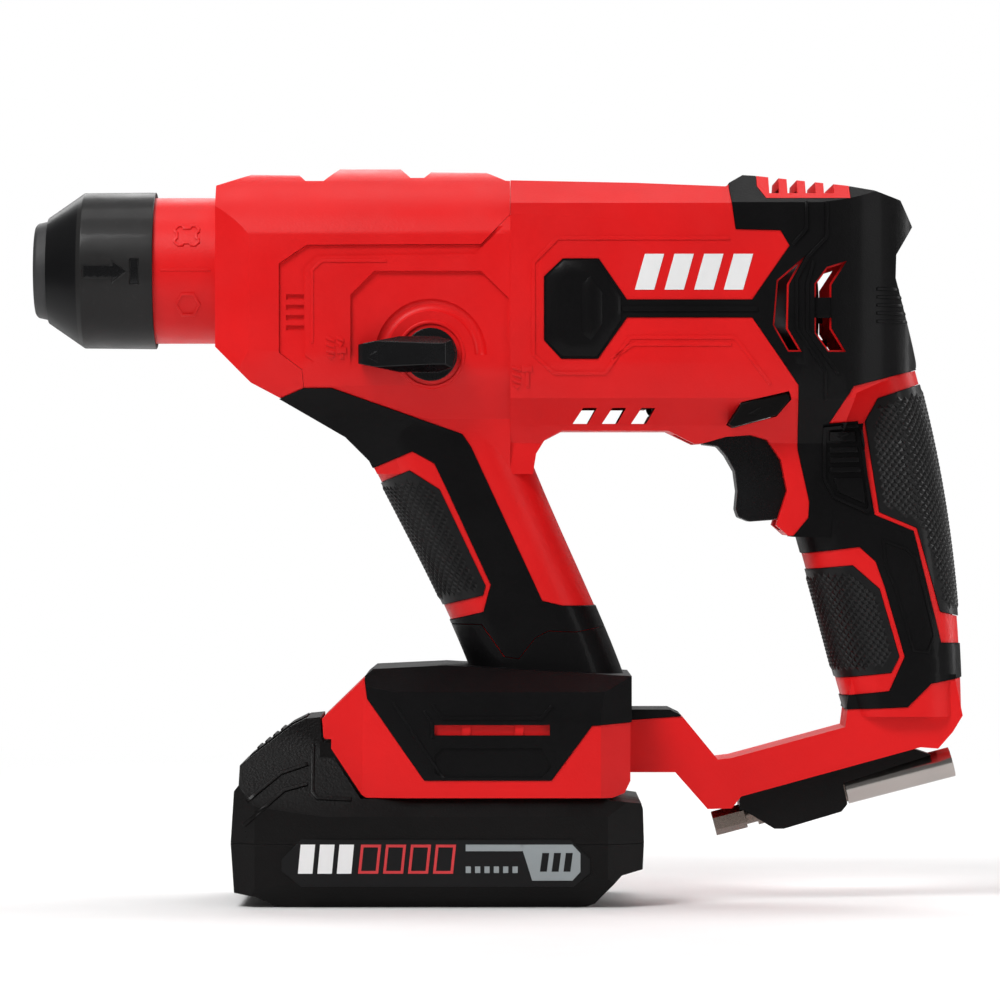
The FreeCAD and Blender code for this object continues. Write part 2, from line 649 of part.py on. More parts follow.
def side_shells(body, halves):
    """The two clamshell halves with their sunk panels, the left one bored for the mode knob."""
    rails = [box(f"rail_{i}", (110, 164), span, ("rail_z", "rail_z + rail_thick"))
             for i, span in enumerate(((24.6, 34.4), (-34.4, -24.6)))]
    behind = cut("behind", fuse("railed", body, *rails), area("front_away", FRONT_REGION, "split_gap / 2"))
    panels = side_cuts("knob_panel", KNOB_PANEL, "body_half", "panel_depth")
    channels = side_cuts("front_channel", FRONT_CHANNEL, "body_half", "channel_depth")
    gill_span = (-40, "-body_half + gill_depth")
    gills = [box(f"gill_{i}", (74.8, 80), gill_span, (f"-9.4 - 3 * {i}", f"-7.9 - 3 * {i}"))
             for i in range(4)]
    groove = make("Torus", "knob_groove", ("knob_x", "-body_half - 0.1", "knob_z"), (1, 0, 0), 90,
                  Radius1=14.5, Radius2=2.2, Angle3=190)
    knob_bore = rod("knob_bore", ("knob_x", -40, "knob_z"), 20, 4.4, "y")
    threads = across("thread_way", SCREW_SPOTS, "screw_r", -10, 2)
    left = common("left_form", behind, halves["left"])
    node(cut("left_cut", left, panels[0], channels[0], groove, knob_bore, *gills, *threads), "left_shell")
    right = common("right_form", behind, halves["right"])
    shank_ways = across("screw_way", SCREW_SPOTS, "screw_r + 0.3", -1, 9)
    head_ways = across("head_way", SCREW_SPOTS, "screw_head_r + 0.2", 8, 60)
    node(cut("right_cut", right, panels[1], channels[1], *shank_ways, *head_ways), "right_shell")


def top_grille(proud, inner):
    """Slotted air intake on top of the motor end."""
    grille = common("grille_form", cut("grille_skin", proud, inner), area("grille_area", GRILLE_REGION))
    gaps = [box(f"grille_gap_{i}", (f"215.2 + 5.3 * {i}", f"218.1 + 5.3 * {i}"), (-50, 50), (21.6, 40))
            for i in range(4)]
    node(cut("grille_cut", grille, *gaps), "top_grille")


def shell_screws():
    """One screw form with a hollow head, repeated at every boss."""
    screw = turned("shell_screw", [
        (-9.5, 0), (9.2, 0), (9.2, 1), (10.6, 1), (10.6, "screw_head_r"), (8, "screw_head_r"),
        (8, "screw_r - 0.05"), (-9.5, "screw_r - 0.05"),
    ])
    placed = [moved(f"shell_screw_{i}", screw, (x, 0, z), (0, 0, 1), 90)
              for i, (x, z) in enumerate(SCREW_SPOTS)]
    node(group("shell_screws", *placed), "housing_screws")


def shells():
    """Front gear housing, the two clamshell halves, their soft trims, the grille and the screws."""
    outer = envelope("outer", 0)
    inner = envelope("inner", "-wall")
    seat = envelope("seat", "-trim_depth")
    proud = envelope("proud", "trim_rise")
    halves = {
        "left": box("left_half", (-50, "big * 2"), ("-big", "-split_gap / 2"), ("-big", "big")),
        "right": box("right_half", (-50, "big * 2"), ("split_gap / 2", "big"), ("-big", "big")),
    }
    trigger_span = ("-trigger_half - 0.3", "trigger_half + 0.3")
    tower_span = ("-tower_half - 0.4", "tower_half + 0.4")
    trigger_way = box("trigger_way", (188, 226), trigger_span, (-76.5, -44.3))
    tower_way = box("tower_way", (60, 166.5), tower_span, (-170, "tower_top + 1"))
    body = shell_body(outer, inner, seat, trigger_way, tower_way)
    front_housing(body)
    side_shells(body, halves)
    trims(cut("trim_skin", proud, seat), halves, trigger_way, tower_way)
    top_grille(proud, inner)
    shell_screws()


# ---------------------------------------------------------------- chuck and hammer line

def hammer_line():
    """Spindle, bolt, ram and piston, all about the spindle axis."""
    barrel = turned("spindle_barrel", [
        (0, "bit_r"), (17.5, "bit_r"), (17.5, "bit_r + 0.55"), (27, "bit_r + 0.55"), (27, "bit_r"),
        (46.8, "bit_r"), (46.8, "bolt_r + run"), (66, "bolt_r + run"), (66, "tube_bore"),
        ("tube_rear", "tube_bore"), ("tube_rear", "tube_r"), ("tube_front + 0.5", "tube_r"),
        ("tube_front - 2", "nose_tube_r"), (0, "nose_tube_r"),
    ])
    windows = rod("ball_windows", ("ball_x", -13, 0), 26, "ball_r + run", "y")
    node(cut("spindle_cut", barrel, windows), "spindle")
    node(gear("spindle_gear_wheel", "spindle_teeth", "low_module", "tube_r", "gear_x", "gear_width", 0),
         "spindle_gear")
    node(bearing("nose_bearing", 43, "nose_tube_r + run", 15, 9.2, 0), "spindle_bearing")
    node(turned("bolt", [
        (42, 0), (50, 0), (65.8, 0), (68.8, 0), (68.8, "bit_r - run - 0.1"),
        (65.8, "bit_r - run - 0.1"), (65.8, "bolt_r"), (50, "bolt_r"), (50, "bit_r - run"),
        (42, "bit_r - run"),
    ]), "impact_bolt")
    node(tube("buffer", 66.05, 68.4, 5.3, "tube_bore - run"), "bolt_buffer")
    node(turned("striker", [
        (78, 0), (86, 0), (106, 0), (106, "ram_r"), (100, "ram_r"), (99.5, "ram_r - 0.6"),
        (97.5, "ram_r - 0.6"), (97, "ram_r"), (86, "ram_r"), (86, 5), (78, 5),
    ]), "ram")
    shell = turned("piston_cup", [
        (80, "piston_inner"), (112, "piston_inner"), (112, 0), (116, 0), (116, "piston_r"),
        (80, "piston_r"),
    ])
    cheeks = [box(f"piston_cheek_{i}", (115, 127), span, (-6, 6))
              for i, span in enumerate(((5.5, 9), (-9, -5.5)))]
    pin_way = rod("piston_pin_way", ("wobble_x", -10, 0), 20, "pin_r + run", "y")
    node(cut("piston_cut", fuse("piston_body", shell, *cheeks), pin_way), "piston")
    pin = rod("cross_pin", ("wobble_x", -8.8, 0), 17.6, "pin_r", "y")
    finger_way = rod("finger_way", ("wobble_x", 0, -6), 12, "finger_r + run * 2", "z")
    node(cut("piston_pin_cut", pin, finger_way), "piston_pin")


def chuck():
    """Pull-back collar, its spring, the rubber cap and the two locking balls."""
    body = turned("collar", [
        ("collar_front", "cap_r + 0.2"), (12, "cap_r + 0.2"), (12, 11.46), (16, 11.46),
        ("ball_x", 9.86), (27, 9.86), (27, 21.2), (27.4, 21.8), ("collar_rear", 21.8),
        ("collar_rear", "collar_r"), (14.5, "collar_r - 0.2"), ("collar_front", "collar_cone_r"),
    ])
    arrow = prism("arrow_mark", free_sketch("arrow_outline", "side", COLLAR_ARROW, 30), 40)
    marks = fuse("collar_marks", arrow, box("stop_mark", (29, 31.6), (-50, -10), (-4.9, 2.8)))
    floor = rod("mark_floor", (10, 0, 0), 30, "collar_r - mark_depth")
    node(cut("collar_cut", body, cut("collar_engraving", marks, floor)), "chuck_collar")
    node(turned("cap", [
        (0, "nose_tube_r"), ("cap_len", "nose_tube_r"), ("cap_len", "cap_r"), (3.6, "cap_r"),
        (0.8, "cap_r - 0.6"), (0, "cap_r - 1.6"),
    ]), "dust_cap")
    coil = spring("collar_coil", (27.1, 0, 0), 13.8, 11.9, 0.7, 4, (0, 1, 0), 90)
    washer = tube("collar_washer", 41, 42.4, "nose_tube_r + run", 13.8)
    node(group("collar_spring_set", coil, washer), "collar_spring")
    for side, sign in (("left", -1), ("right", 1)):
        at = ("ball_x", f"{sign} * (bit_r - ball_bite + ball_r)", 0)
        node(make("Sphere", f"{side}_ball", at, Radius="ball_r"), f"ball_{side}")


# ---------------------------------------------------------------- layshaft, clutch and wobble drive

def layshaft_line():
    """Everything that turns about, or rocks on, the layshaft."""
    core = turned("layshaft_core", [
        ("lay_front", 0), ("lay_rear", 0), ("lay_rear", "lay_thin_r"),
        ("rear_plate_x - 1", "lay_thin_r"), ("rear_plate_x - 1", "lay_r"), (92, "lay_r"),
        (92, "lay_thin_r"), ("lay_front", "lay_thin_r"),
    ], "lay_z")
    spline = box("spline", (93, 107.9), (-1, 1), (3, 5.3))
    node(fuse("layshaft_splined", core, *around("splines", spline, 3, "lay_z")), "layshaft")
    node(gear("lay_wheel", "lay_gear_teeth", "high_module", "lay_r", "high_x", "high_width", "lay_z"),
         "layshaft_gear")
    wheel = gear("low_pinion", "low_pinion_teeth", "low_module", "lay_thin_r + 0.03", 80, 10, "lay_z",
                 [(92, "lay_thin_r + 0.03"), (92, 8.8), (90.4, 8.8), (90.4, 4.45)])
    claw = box("pinion_claw", (91.5, 94.6), (-1.5, 1.5), (5.6, 8.6))
    node(fuse("pinion_clawed", wheel, *around("pinion_claws", claw, 3, "lay_z", 60)), "spindle_pinion")
    rear = "sleeve_x + sleeve_len"
    ring = turned("sleeve_ring", [
        ("sleeve_x", "lay_r + 0.1"), (rear, "lay_r + 0.1"), (rear, "sleeve_r"), (100.6, "sleeve_r"),
        (100.6, 7.2), (97.5, 7.2), (97.5, "sleeve_r"), ("sleeve_x", "sleeve_r"),
    ], "lay_z")
    slot = box("sleeve_slot", (90, 110), (-1.1, 1.1), (3, 5.4))
    claw = box("sleeve_claw", (92.2, 95.5), (-1.5, 1.5), (5.6, 8.6))
    clawed = fuse("sleeve_clawed", ring, *around("sleeve_claws", claw, 3, "lay_z"))
    node(cut("sleeve_cut", clawed, *around("sleeve_slots", slot, 3, "lay_z")), "clutch_sleeve")
    ball = make("Sphere", "wobble_ball", ("wobble_x", 0, "lay_z"), Radius="wobble_sphere")
    slab = tube("wobble_slab", "wobble_x - 6.5", "wobble_x + 6.5", "lay_r", 12, "lay_z")
    node(common("wobble_hub_form", ball, slab), "wobble_hub")
    blank = tube("wobble_blank", "wobble_x - 4", "wobble_x + 4", 7.9, 12, "lay_z")
    cup = make("Sphere", "wobble_cup", ("wobble_x", 0, "lay_z"), Radius="wobble_sphere + run")
    finger = rod("wobble_finger", ("wobble_x", 0, "lay_z + 11"), 22.5, "finger_r", "z")
    node(fuse("wobble_ring_body", cut("wobble_ring_cut", blank, cup), finger), "wobble_ring")


def gear_frame():
    """Front plate, and the one-piece carrier of two bulkheads and four pillars."""
    outline = [(-21.5, -35.4), (21.5, -35.4), (24, -14), (24, 5), (14, 17), (-14, 17), (-24, 5), (-24, -14)]
    plates = {}
    for name in ("front_plate", "tube_plate", "rear_plate"):
        plates[name] = padded(name + "_blank", "section", outline, name + "_x", f"{name}_x + plate_thick")
    lay_seat = rod("front_seat", (70, 0, "lay_z"), 12, "bearing_r", "x")
    tube_way = rod("front_tube_way", (70, 0, 0), 12, "tube_r + 0.5", "x")
    node(cut("front_plate_cut", plates["front_plate"], lay_seat, tube_way), "front_plate")
    journal = rod("tube_journal", (105, 0, 0), 10, "tube_r + run", "x")
    lay_way = rod("tube_plate_lay_way", (105, 0, "lay_z"), 10, 6.2, "x")
    fork_way = box("fork_way", (105, 115), (-30, -17.5), (-31.6, -18.8))
    tube_bulkhead = cut("tube_bulkhead", plates["tube_plate"], journal, lay_way, fork_way)
    rear_seat = rod("rear_seat", (140, 0, "lay_z"), 12, "bearing_r", "x")
    motor_way = rod("motor_shaft_way", (140, 0, "motor_z"), 12, 6, "x")
    rear_bulkhead = cut("rear_bulkhead", plates["rear_plate"], rear_seat, motor_way)
    pillar_length = "rear_plate_x - front_plate_x - 3"
    pillars = [rod(f"pillar_{i}", ("front_plate_x + plate_thick", y, z), pillar_length, 1.8)
               for i, (y, z) in enumerate(((-22.2, -15.5), (22.2, -15.5), (-19, -33), (19, -33)))]
    node(fuse("carrier", tube_bulkhead, rear_bulkhead, *pillars), "gear_carrier")
    one = bearing("small_bearing", 0, "shaft_r", "bearing_r", "bearing_width", 0)
    spots = [
        ("front_plate_x", "lay_z"), ("rear_plate_x", "lay_z"), ("motor_front", "motor_z"),
        (226, "motor_z"),
    ]
    placed = [moved(f"bearing_at_{i}", one, (x, 0, z)) for i, (x, z) in enumerate(spots)]
    node(group("four_bearings", *placed), "shaft_bearings")


# ---------------------------------------------------------------- motor

def motor():
    """Can motor with magnets, armature, brushes, end cap, fan and pinion."""
    rear = "motor_front + motor_len"
    seat = "bearing_r"
    node(turned("can", [
        ("motor_front", seat), (171.5, seat), (171.5, 8.5), (168.2, 8.5), (168.2, 17.5), (rear, 17.5),
        (rear, "motor_r"), ("motor_front", "motor_r"),
    ], "motor_z"), "motor_can")
    ring = tube("magnet_ring", 175, 207, 15.4, 17.5, "motor_z")
    slots = [box("magnet_slot_y", (174, 208), (-20, 20), ("motor_z - 2.5", "motor_z + 2.5")),
             box("magnet_slot_z", (174, 208), (-2.5, 2.5), ("motor_z - 20", "motor_z + 20"))]
    node(cut("magnet_cut", ring, *slots), "motor_magnets")
    cap = turned("end_cap_cup", [
        (224, 8.5), (226, 8.5), (226, seat), (230.5, seat), (230.5, 9), (229, 9), (229, 17),
        (224, "motor_r"),
    ], "motor_z")
    horns = [box(f"brush_horn_{i}", (213.5, 224.5), span, ("motor_z - 3.5", "motor_z + 3.5"))
             for i, span in enumerate(((9.4, 14.6), (-14.6, -9.4)))]
    ways = [box(f"brush_way_{i}", (214.95, 219.05), span, ("motor_z - 2.05", "motor_z + 2.05"))
            for i, span in enumerate(((5, 20), (-20, -5)))]
    node(cut("end_cap_cut", fuse("end_cap_body", cap, *horns), *ways), "motor_end_cap")
    brushes = [box(f"brush_{i}", (215, 219), span, ("motor_z - 2", "motor_z + 2"))
               for i, span in enumerate(((8.1, 15), (-15, -8.1)))]
    node(group("brush_pair", *brushes), "motor_brushes")
    armature = turned("armature_core", [
        (131.5, 0), (230.5, 0), (230.5, "shaft_r"), (221, "shaft_r"), (221, 8), (213, 8), (213, 12.5),
        (207, 12.5), (206, 14.8), (176, 14.8), (175, 12.5), (172.5, 12.5), (172.5, "shaft_r"),
        (146, "shaft_r"), (146, 1.5), (131.5, 1.5),
    ], "motor_z")
    slot = [(-1, 12.6), (1, 12.6), (1, 16), (-1, 16)]
    sketch = body_sketch(armature, "armature_slot", "section", slot, 175)
    pocket = armature.newObject("PartDesign::Pocket", "armature_slot_cut")
    pocket.Profile = sketch
    pocket.Reversed = True
    pocket.Length = 32
    slots = armature.newObject("PartDesign::PolarPattern", "armature_slots")
    slots.Originals = [pocket]
    slots.Axis = (sketch, ["N_Axis"])
    slots.Occurrences = 9
    armature.Tip = slots
    node(armature, "armature")
    node(gear("motor_wheel", "motor_pinion_teeth", "high_module", 1.5, 132, 11, "motor_z"), "motor_pinion")
    fan = turned("fan_core", [
        ("fan_x", "shaft_r"), ("fan_x + fan_width", "shaft_r"), ("fan_x + fan_width", 6),
        ("fan_x + 1.5", 6), ("fan_x + 1.5", "fan_r"), ("fan_x", "fan_r"),
    ], "motor_z")
    blade = [(-0.6, 5.5), (0.6, 5.5), (3.1, 19.5), (1.9, 19.5)]
    sketch = body_sketch(fan, "fan_blade", "section", blade, "fan_x + 1.4")
    pad = fan.newObject("PartDesign::Pad", "fan_blade_pad")
    pad.Profile = sketch
    bind(pad, "Length", "fan_width - 1.9")
    blades = fan.newObject("PartDesign::PolarPattern", "fan_blades")
    blades.Originals = [pad]
    blades.Axis = (sketch, ["N_Axis"])
    blades.Occurrences = 13
    fan.Tip = blades
    node(fan, "motor_fan")


# ---------------------------------------------------------------- controls

def controls():
    """Mode knob and shift plate, trigger, switch and direction selector."""
    outline = [
        (-20.9, -2.8), (-9, -5.2), (2, -5.2), (6.4, -3.9), (7.4, 0), (6.4, 3.9), (2, 5.2), (-9, 5.2),
        (-20.9, 2.8),
    ]
    section = [(-28.6, -5.6), (-33, -5.6), (-36.6, -3), (-36.6, 3), (-33, 5.6), (-28.6, 5.6)]
    plan = [(-22, -28.6), (-22, -32.6), (-19.5, -35.4), (4, -36.8), (9, -33), (9, -28.6)]
    lever = common("knob_lever", prism("lever_side", free_sketch("lever_outline", "side", outline), 100),
                   prism("lever_section", free_sketch("lever_across", "section", section), 100),
                   prism("lever_plan", free_sketch("lever_from_above", "plan", plan), 100))
    local = [
        rod("knob_disc", (0, -31.6, 0), 4, "knob_r", "y"),
        rod("knob_shaft", (0, -28.6, 0), 6.9, 4.35, "y"),
        rod("knob_clip", (0, -23.6, 0), 1.3, 6, "y"),
        rod("knob_pin", ("-pin_throw", -22, 0), 3, 1.5, "y"),
    ]
    node(moved("knob_placed", fuse("knob_body", lever, *local), ("knob_x", 0, "knob_z")), "mode_knob")
    plate = box("shift_sheet", (97.6, 123), (-21.4, -19.6), (-30.8, -19.6))
    arm = common("shift_fork", tube("fork_ring", 97.6, 100.5, 7.4, 21, "lay_z"),
                 fuse("fork_spans", box("fork_arms", (97.6, 100.5), (-11, 0), (-38, -16)),
                      box("fork_neck", (97.6, 100.5), (-21.4, -5), (-30.8, -22))))
    slot = box("shift_slot", ("knob_x - 2.1 - pin_throw", "knob_x + 2.1 - pin_throw"), (-25, -15),
               ("knob_z - 3.9", "knob_z + 3.9"))
    node(cut("shift_cut", fuse("shift_body", plate, arm), slot), "shift_plate")
    trigger = [
        (196.3, -51.3), (200.8, -51.9), (203.1, -54.5), (205.8, -59.2), (206.6, -65), (206.1, -70.3),
        (206.9, -72.7), (210, -74), (216.8, -73.5), (222.5, -72), (222.5, -47.3), (198.2, -47.3),
    ]
    finger = padded("trigger_form", "side", trigger, "-trigger_half", "trigger_half")
    plunger = rod("plunger", (222, 0, -62), 12, 3)
    node(fuse("trigger_body", finger, plunger), "trigger")
    node(spring("trigger_coil", (222.6, 0, -62), 6.8, 4.4, 0.4, 4, (0, 1, 0), 90), "trigger_spring")
    case = box("switch_case", (229.5, 249), (-9.8, 9.8), (-76, -50))
    lugs = box("switch_lugs", (232, 246), (-6, 6), (-50.5, -47))
    bore = rod("plunger_way", (229, 0, -62), 12, "3 + run")
    node(cut("switch_cut", fuse("switch_form", case, lugs), bore), "switch_body")
    bar = padded("selector_form", "side", SELECTOR, -26, 26)
    waist = box("selector_waist", (200, 208.5), (-12, 12), (-50, -30))
    node(cut("selector_cut", bar, waist), "direction_selector")


# ---------------------------------------------------------------- battery pack

PACK_SIDE = [
    (59.8, -152), (58.8, -167.1), (59.8, -181.4), (66.1, -182.3), (72.6, "pack_low"),
    (161.7, "pack_low"), (164.3, -184.4), (172.1, -176.1), (178.2, -174.5), (178.6, -166.7),
    (178.3, -157.1), (177.8, -155.4), (165.2, "pack_top - 0.1"), (96.6, "pack_top - 0.1"), (85, -137),
    (84.6, -130.8), (80.4, -131.2), (76.1, -133.4), (61.4, -144.6), (61.2, -150.2),
]
PACK_SECTION = [
    (-33.5, -153.5), ("-pack_half", -159), ("-pack_half", -177), (-32, "pack_low"), (32, "pack_low"),
    ("pack_half", -177), ("pack_half", -159), (33.5, -153.5), (25, -139), (22, -129), (-22, -129),
    (-25, -139),
]
PACK_PLAN = [
    (58, -29), (66, -35.6), (86, "-pack_half"), (168, "-pack_half"), (180, -31), (180, 31),
    (168, "pack_half"), (86, "pack_half"), (66, 35.6), (58, 29),
]
LABEL_SEAT = [
    (73.1, -171), (79.2, -165), (157.5, -165), (163.4, -171), (163.4, -175.4), (158.4, -179.7),
    (79.2, -179.7), (73.1, -174.9),
]
PACK_SCREWS = ((65.6, -20), (65.6, 20), (167, -26), (167, 26))
BLADE_ROWS = (-14, -6, 6, 14)


def pack_form(tag, grow):
    views = (("side", PACK_SIDE), ("section", PACK_SECTION), ("plan", PACK_PLAN))
    prisms = [prism(f"pack_{view}_{tag}_prism", grown(free_sketch(f"pack_{view}_{tag}", view, points),
                                                      f"pack_{view}_{tag}_grown", grow), 800)
              for view, points in views]
    return common("pack_" + tag, *prisms)


def pack():
    """Two case halves, latch, cells, contacts and screws."""
    form = pack_form("outer", 0)
    tower = box("tower", (84.6, 165), ("-tower_half", "tower_half"), ("pack_top - 4", "tower_top"))
    hollow = fuse("pack_hollow", pack_form("inner", "-pack_wall"),
                  box("tower_hollow", (80, 162.8), (-22, 22), (-158, "tower_top - pack_wall")))
    posts = common("pack_posts", form, fuse("post_rods", *[
        rod(f"post_{i}", (x, y, -190), 70, 3.4, "z") for i, (x, y) in enumerate(PACK_SCREWS)]))
    shelf = box("latch_shelf", (60.5, 78), (-6, 6), (-159.2, -157.7))
    case = fuse("pack_case", cut("pack_shell", fuse("pack_solid", form, tower), hollow), posts, shelf)
    rail_ways = [box(f"rail_way_{i}", (109.5, 200), span, ("rail_z - 0.3", "rail_z + rail_thick + 0.3"))
                 for i, span in enumerate(((24.2, 30), (-30, -24.2)))]
    slots = [box(f"blade_slot_{i}", (127, 200), (y - 0.8, y + 0.8), (-147.5, -130))
             for i, y in enumerate(BLADE_ROWS)]
    latch_way = box("latch_way", (63.3, 80.5), (-13.3, 13.3), (-153, -120))
    panels = side_cuts("label_seat", LABEL_SEAT, "pack_half", 0.6)
    heads = [rod(f"pack_head_way_{i}", (x, y, -200), 22.5, 2.9, "z")
             for i, (x, y) in enumerate(PACK_SCREWS)]
    shanks = [rod(f"pack_screw_way_{i}", (x, y, -200), 40.4, "screw_r", "z")
              for i, (x, y) in enumerate(PACK_SCREWS)]
    opened = cut("pack_opened", case, *rail_ways, *slots, latch_way, *panels, *heads, *shanks)
    low = box("pack_low_half", (0, 300), (-60, 60), (-300, "pack_split - split_gap / 2"))
    high = box("pack_high_half", (0, 300), (-60, 60), ("pack_split + split_gap / 2", 0))
    node(common("pack_low_case", opened, low), "battery_lower_case")
    node(common("pack_high_case", opened, high), "battery_upper_case")
    button = padded("latch_button", "side", [
        (63.6, -147.5), (63.6, -142.4), (75.8, -133), (80.2, -130.8), (80.2, -141), (70, -147.5),
    ], -13, 13)
    flange = box("latch_flange", (68, 78), (-16, 16), (-147.4, -145.6))
    node(fuse("latch_body", button, flange), "battery_latch")
    node(spring("latch_coil", (73, 0, -157.6), 10, 3.6, 0.45, 6), "battery_latch_spring")
    cell = rod("cell", (0, "-cell_len / 2", 0), "cell_len", "cell_r", "y")
    nub = rod("cell_nub", (0, "cell_len / 2 - 0.5", 0), 1.3, 3, "y")
    one = fuse("cell_body", cell, nub)
    row = [moved(f"cell_{i}", one, (78.6 + 18.6 * i, 0, -170.8), (0, 0, 1), 180 * (i % 2))
           for i in range(5)]
    node(group("five_cells", *row), "battery_cells")
    board = box("contact_board", (126, 146), (-19, 19), (-155, -153.4))
    clips = []
    for i, y in enumerate(BLADE_ROWS):
        jaws = box(f"clip_jaws_{i}", (131, 141), (y - 1.1, y + 1.1), (-153.6, -142))
        throat = box(f"clip_throat_{i}", (130, 142), (y - 0.5, y + 0.5), (-151, -140))
        clips.append(cut(f"clip_{i}", jaws, throat))
    node(fuse("contact_set", board, *clips), "battery_contacts")
    profile = [(0, 0), (0, 2.6), (2.2, 2.6), (2.2, 1.45), (15, 1.45), (15, 0)]
    screw = turned("pack_screw", profile)
    placed = [moved(f"pack_screw_{i}", screw, (x, y, -179.7), (0, 1, 0), -90)
              for i, (x, y) in enumerate(PACK_SCREWS)]
    node(group("pack_screws", *placed), "battery_screws")
    block = box("terminal_form", (128, 158), (-20, 20), (-134.9, -127))
    blades = [box(f"blade_{i}", (130, 154), (y - 0.4, y + 0.4), (-146, -134))
              for i, y in enumerate(BLADE_ROWS)]
    node(fuse("terminal_set", block, *blades), "terminal_block")


# ---------------------------------------------------------------- leads, bit clip and adapter

def leads():
    """Two supply leads from the terminals up to the switch, and two on to the motor."""
    supply = [
        (158, -131), (168, -131), (173, -135.5), (178, -141.6), (190, -142.4), (199.5, -150.8),
        (208, -148.6), (236, -140.6), (247, -135.5), (247.4, -125), (240, -100), (239, -84), (239, -76),
    ]
    drive = [(238, -47), (238, -42), (232, -32), (232, -20.5)]
    parts = []
    for name, route in (("supply", supply), ("drive", drive)):
        for i, y in enumerate((-3, 3)):
            parts.append(wire(f"{name}_{i}", [(x, y, z) for x, z in route], 1.2))
    node(group("lead_set", *parts), "leads")


def tilted(name, base):
    return moved(name, base, ("adapter_x", 0, "adapter_z"), (0, 1, 0), -DIMENSIONS["adapter_tilt"])


def bit_clip():
    """Clip below the arm and the hex adapter stored in it; drawn level, then tilted with the arm."""
    outline = [
        (62, 7), (66.8, 3.9), (39.5, 2.4), (39.3, -3.9), (37, -5.6), (19.4, -6.2), (16.7, -5.5),
        (9.1, 2.3), (8.1, 2.5), (9.2, 6.3),
    ]
    form = padded("clip_form", "side", outline, -7.5, 7.5)
    shank_way = rod("shank_way", (0, 0, 0), 45, 3.75)
    sleeve_way = rod("sleeve_way", (39.4, 0, 0), 40, "adapter_r + 0.1")
    node(tilted("clip_placed", cut("clip_cut", form, shank_way, sleeve_way)), "bit_clip")
    corner = "hex_flats / 2 / cos(30)"
    hexagon = make("Prism", "shank_hex", (0, 0, 0), (0, 1, 0), 90, Polygon=6,
                   Circumradius=corner, Height=54)
    waist = tube("shank_waist", 9.5, 12.8, 2.7, 6)
    node(tilted("shank_placed", cut("shank_cut", hexagon, waist)), "adapter_shank")
    outer_tube = rod("adapter_tube", (40, 0, 0), 32.6, "adapter_r")
    shank_bore = rod("adapter_bore", (39, 0, 0), 15.2, 3.7)
    socket = make("Prism", "adapter_socket", (60, 0, 0), (0, 1, 0), 90, Polygon=6,
                  Circumradius=corner + " + 0.05", Height=14)
    sleeve = cut("adapter_sleeve_cut", outer_tube, shank_bore, socket)
    node(tilted("sleeve_placed", sleeve), "adapter_sleeve")


shells()
hammer_line()
chuck()
layshaft_line()
gear_frame()
motor()
controls()
pack()
leads()
bit_clip()
doc.recompute()

for item in doc.Objects:
    if "Invalid" in item.State or "Error" in item.State:
        raise RuntimeError(f"{item.Label}: {item.State}")
os.makedirs("parts", exist_ok=True)
for piece in NODES:
    shape = piece.Shape
    if shape.isNull() or not shape.isValid():
        raise RuntimeError(f"{piece.Label}: the shape is not valid")
    shape.exportStep(f"parts/{piece.Label}.step")
    print(piece.Label, len(shape.Solids), round(shape.Volume))
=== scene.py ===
"""Looks for the cordless rotary hammer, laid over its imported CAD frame.

Metres in the frame: +X runs to the rear handle, +Z is up and the camera looks along +Y.
Outlines below are (x, z) in millimetres on the tool's side.
"""

import math

import bmesh
import bpy
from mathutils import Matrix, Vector
from mathutils.bvhtree import BVHTree


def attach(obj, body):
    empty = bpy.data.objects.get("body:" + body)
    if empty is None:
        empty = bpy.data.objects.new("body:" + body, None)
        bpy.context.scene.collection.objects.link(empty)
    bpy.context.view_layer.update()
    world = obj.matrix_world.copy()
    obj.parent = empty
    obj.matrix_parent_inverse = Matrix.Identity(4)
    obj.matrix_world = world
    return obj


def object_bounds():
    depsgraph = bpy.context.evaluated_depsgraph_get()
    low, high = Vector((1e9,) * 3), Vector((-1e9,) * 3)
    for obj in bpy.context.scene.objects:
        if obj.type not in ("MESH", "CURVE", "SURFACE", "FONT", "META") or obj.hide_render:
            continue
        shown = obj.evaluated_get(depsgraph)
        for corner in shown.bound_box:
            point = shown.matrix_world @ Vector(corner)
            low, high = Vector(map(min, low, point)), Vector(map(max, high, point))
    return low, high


MM = 0.001
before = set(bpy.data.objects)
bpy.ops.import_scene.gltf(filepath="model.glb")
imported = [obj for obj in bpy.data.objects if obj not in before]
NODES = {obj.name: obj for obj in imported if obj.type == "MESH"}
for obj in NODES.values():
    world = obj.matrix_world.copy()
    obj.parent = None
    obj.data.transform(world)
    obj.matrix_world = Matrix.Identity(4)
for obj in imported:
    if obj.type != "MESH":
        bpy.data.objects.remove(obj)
cad_low, cad_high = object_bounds()


# ---------------------------------------------------------------- finishes

def links_of(tree):
    return lambda a, b: tree.links.new(a, b)


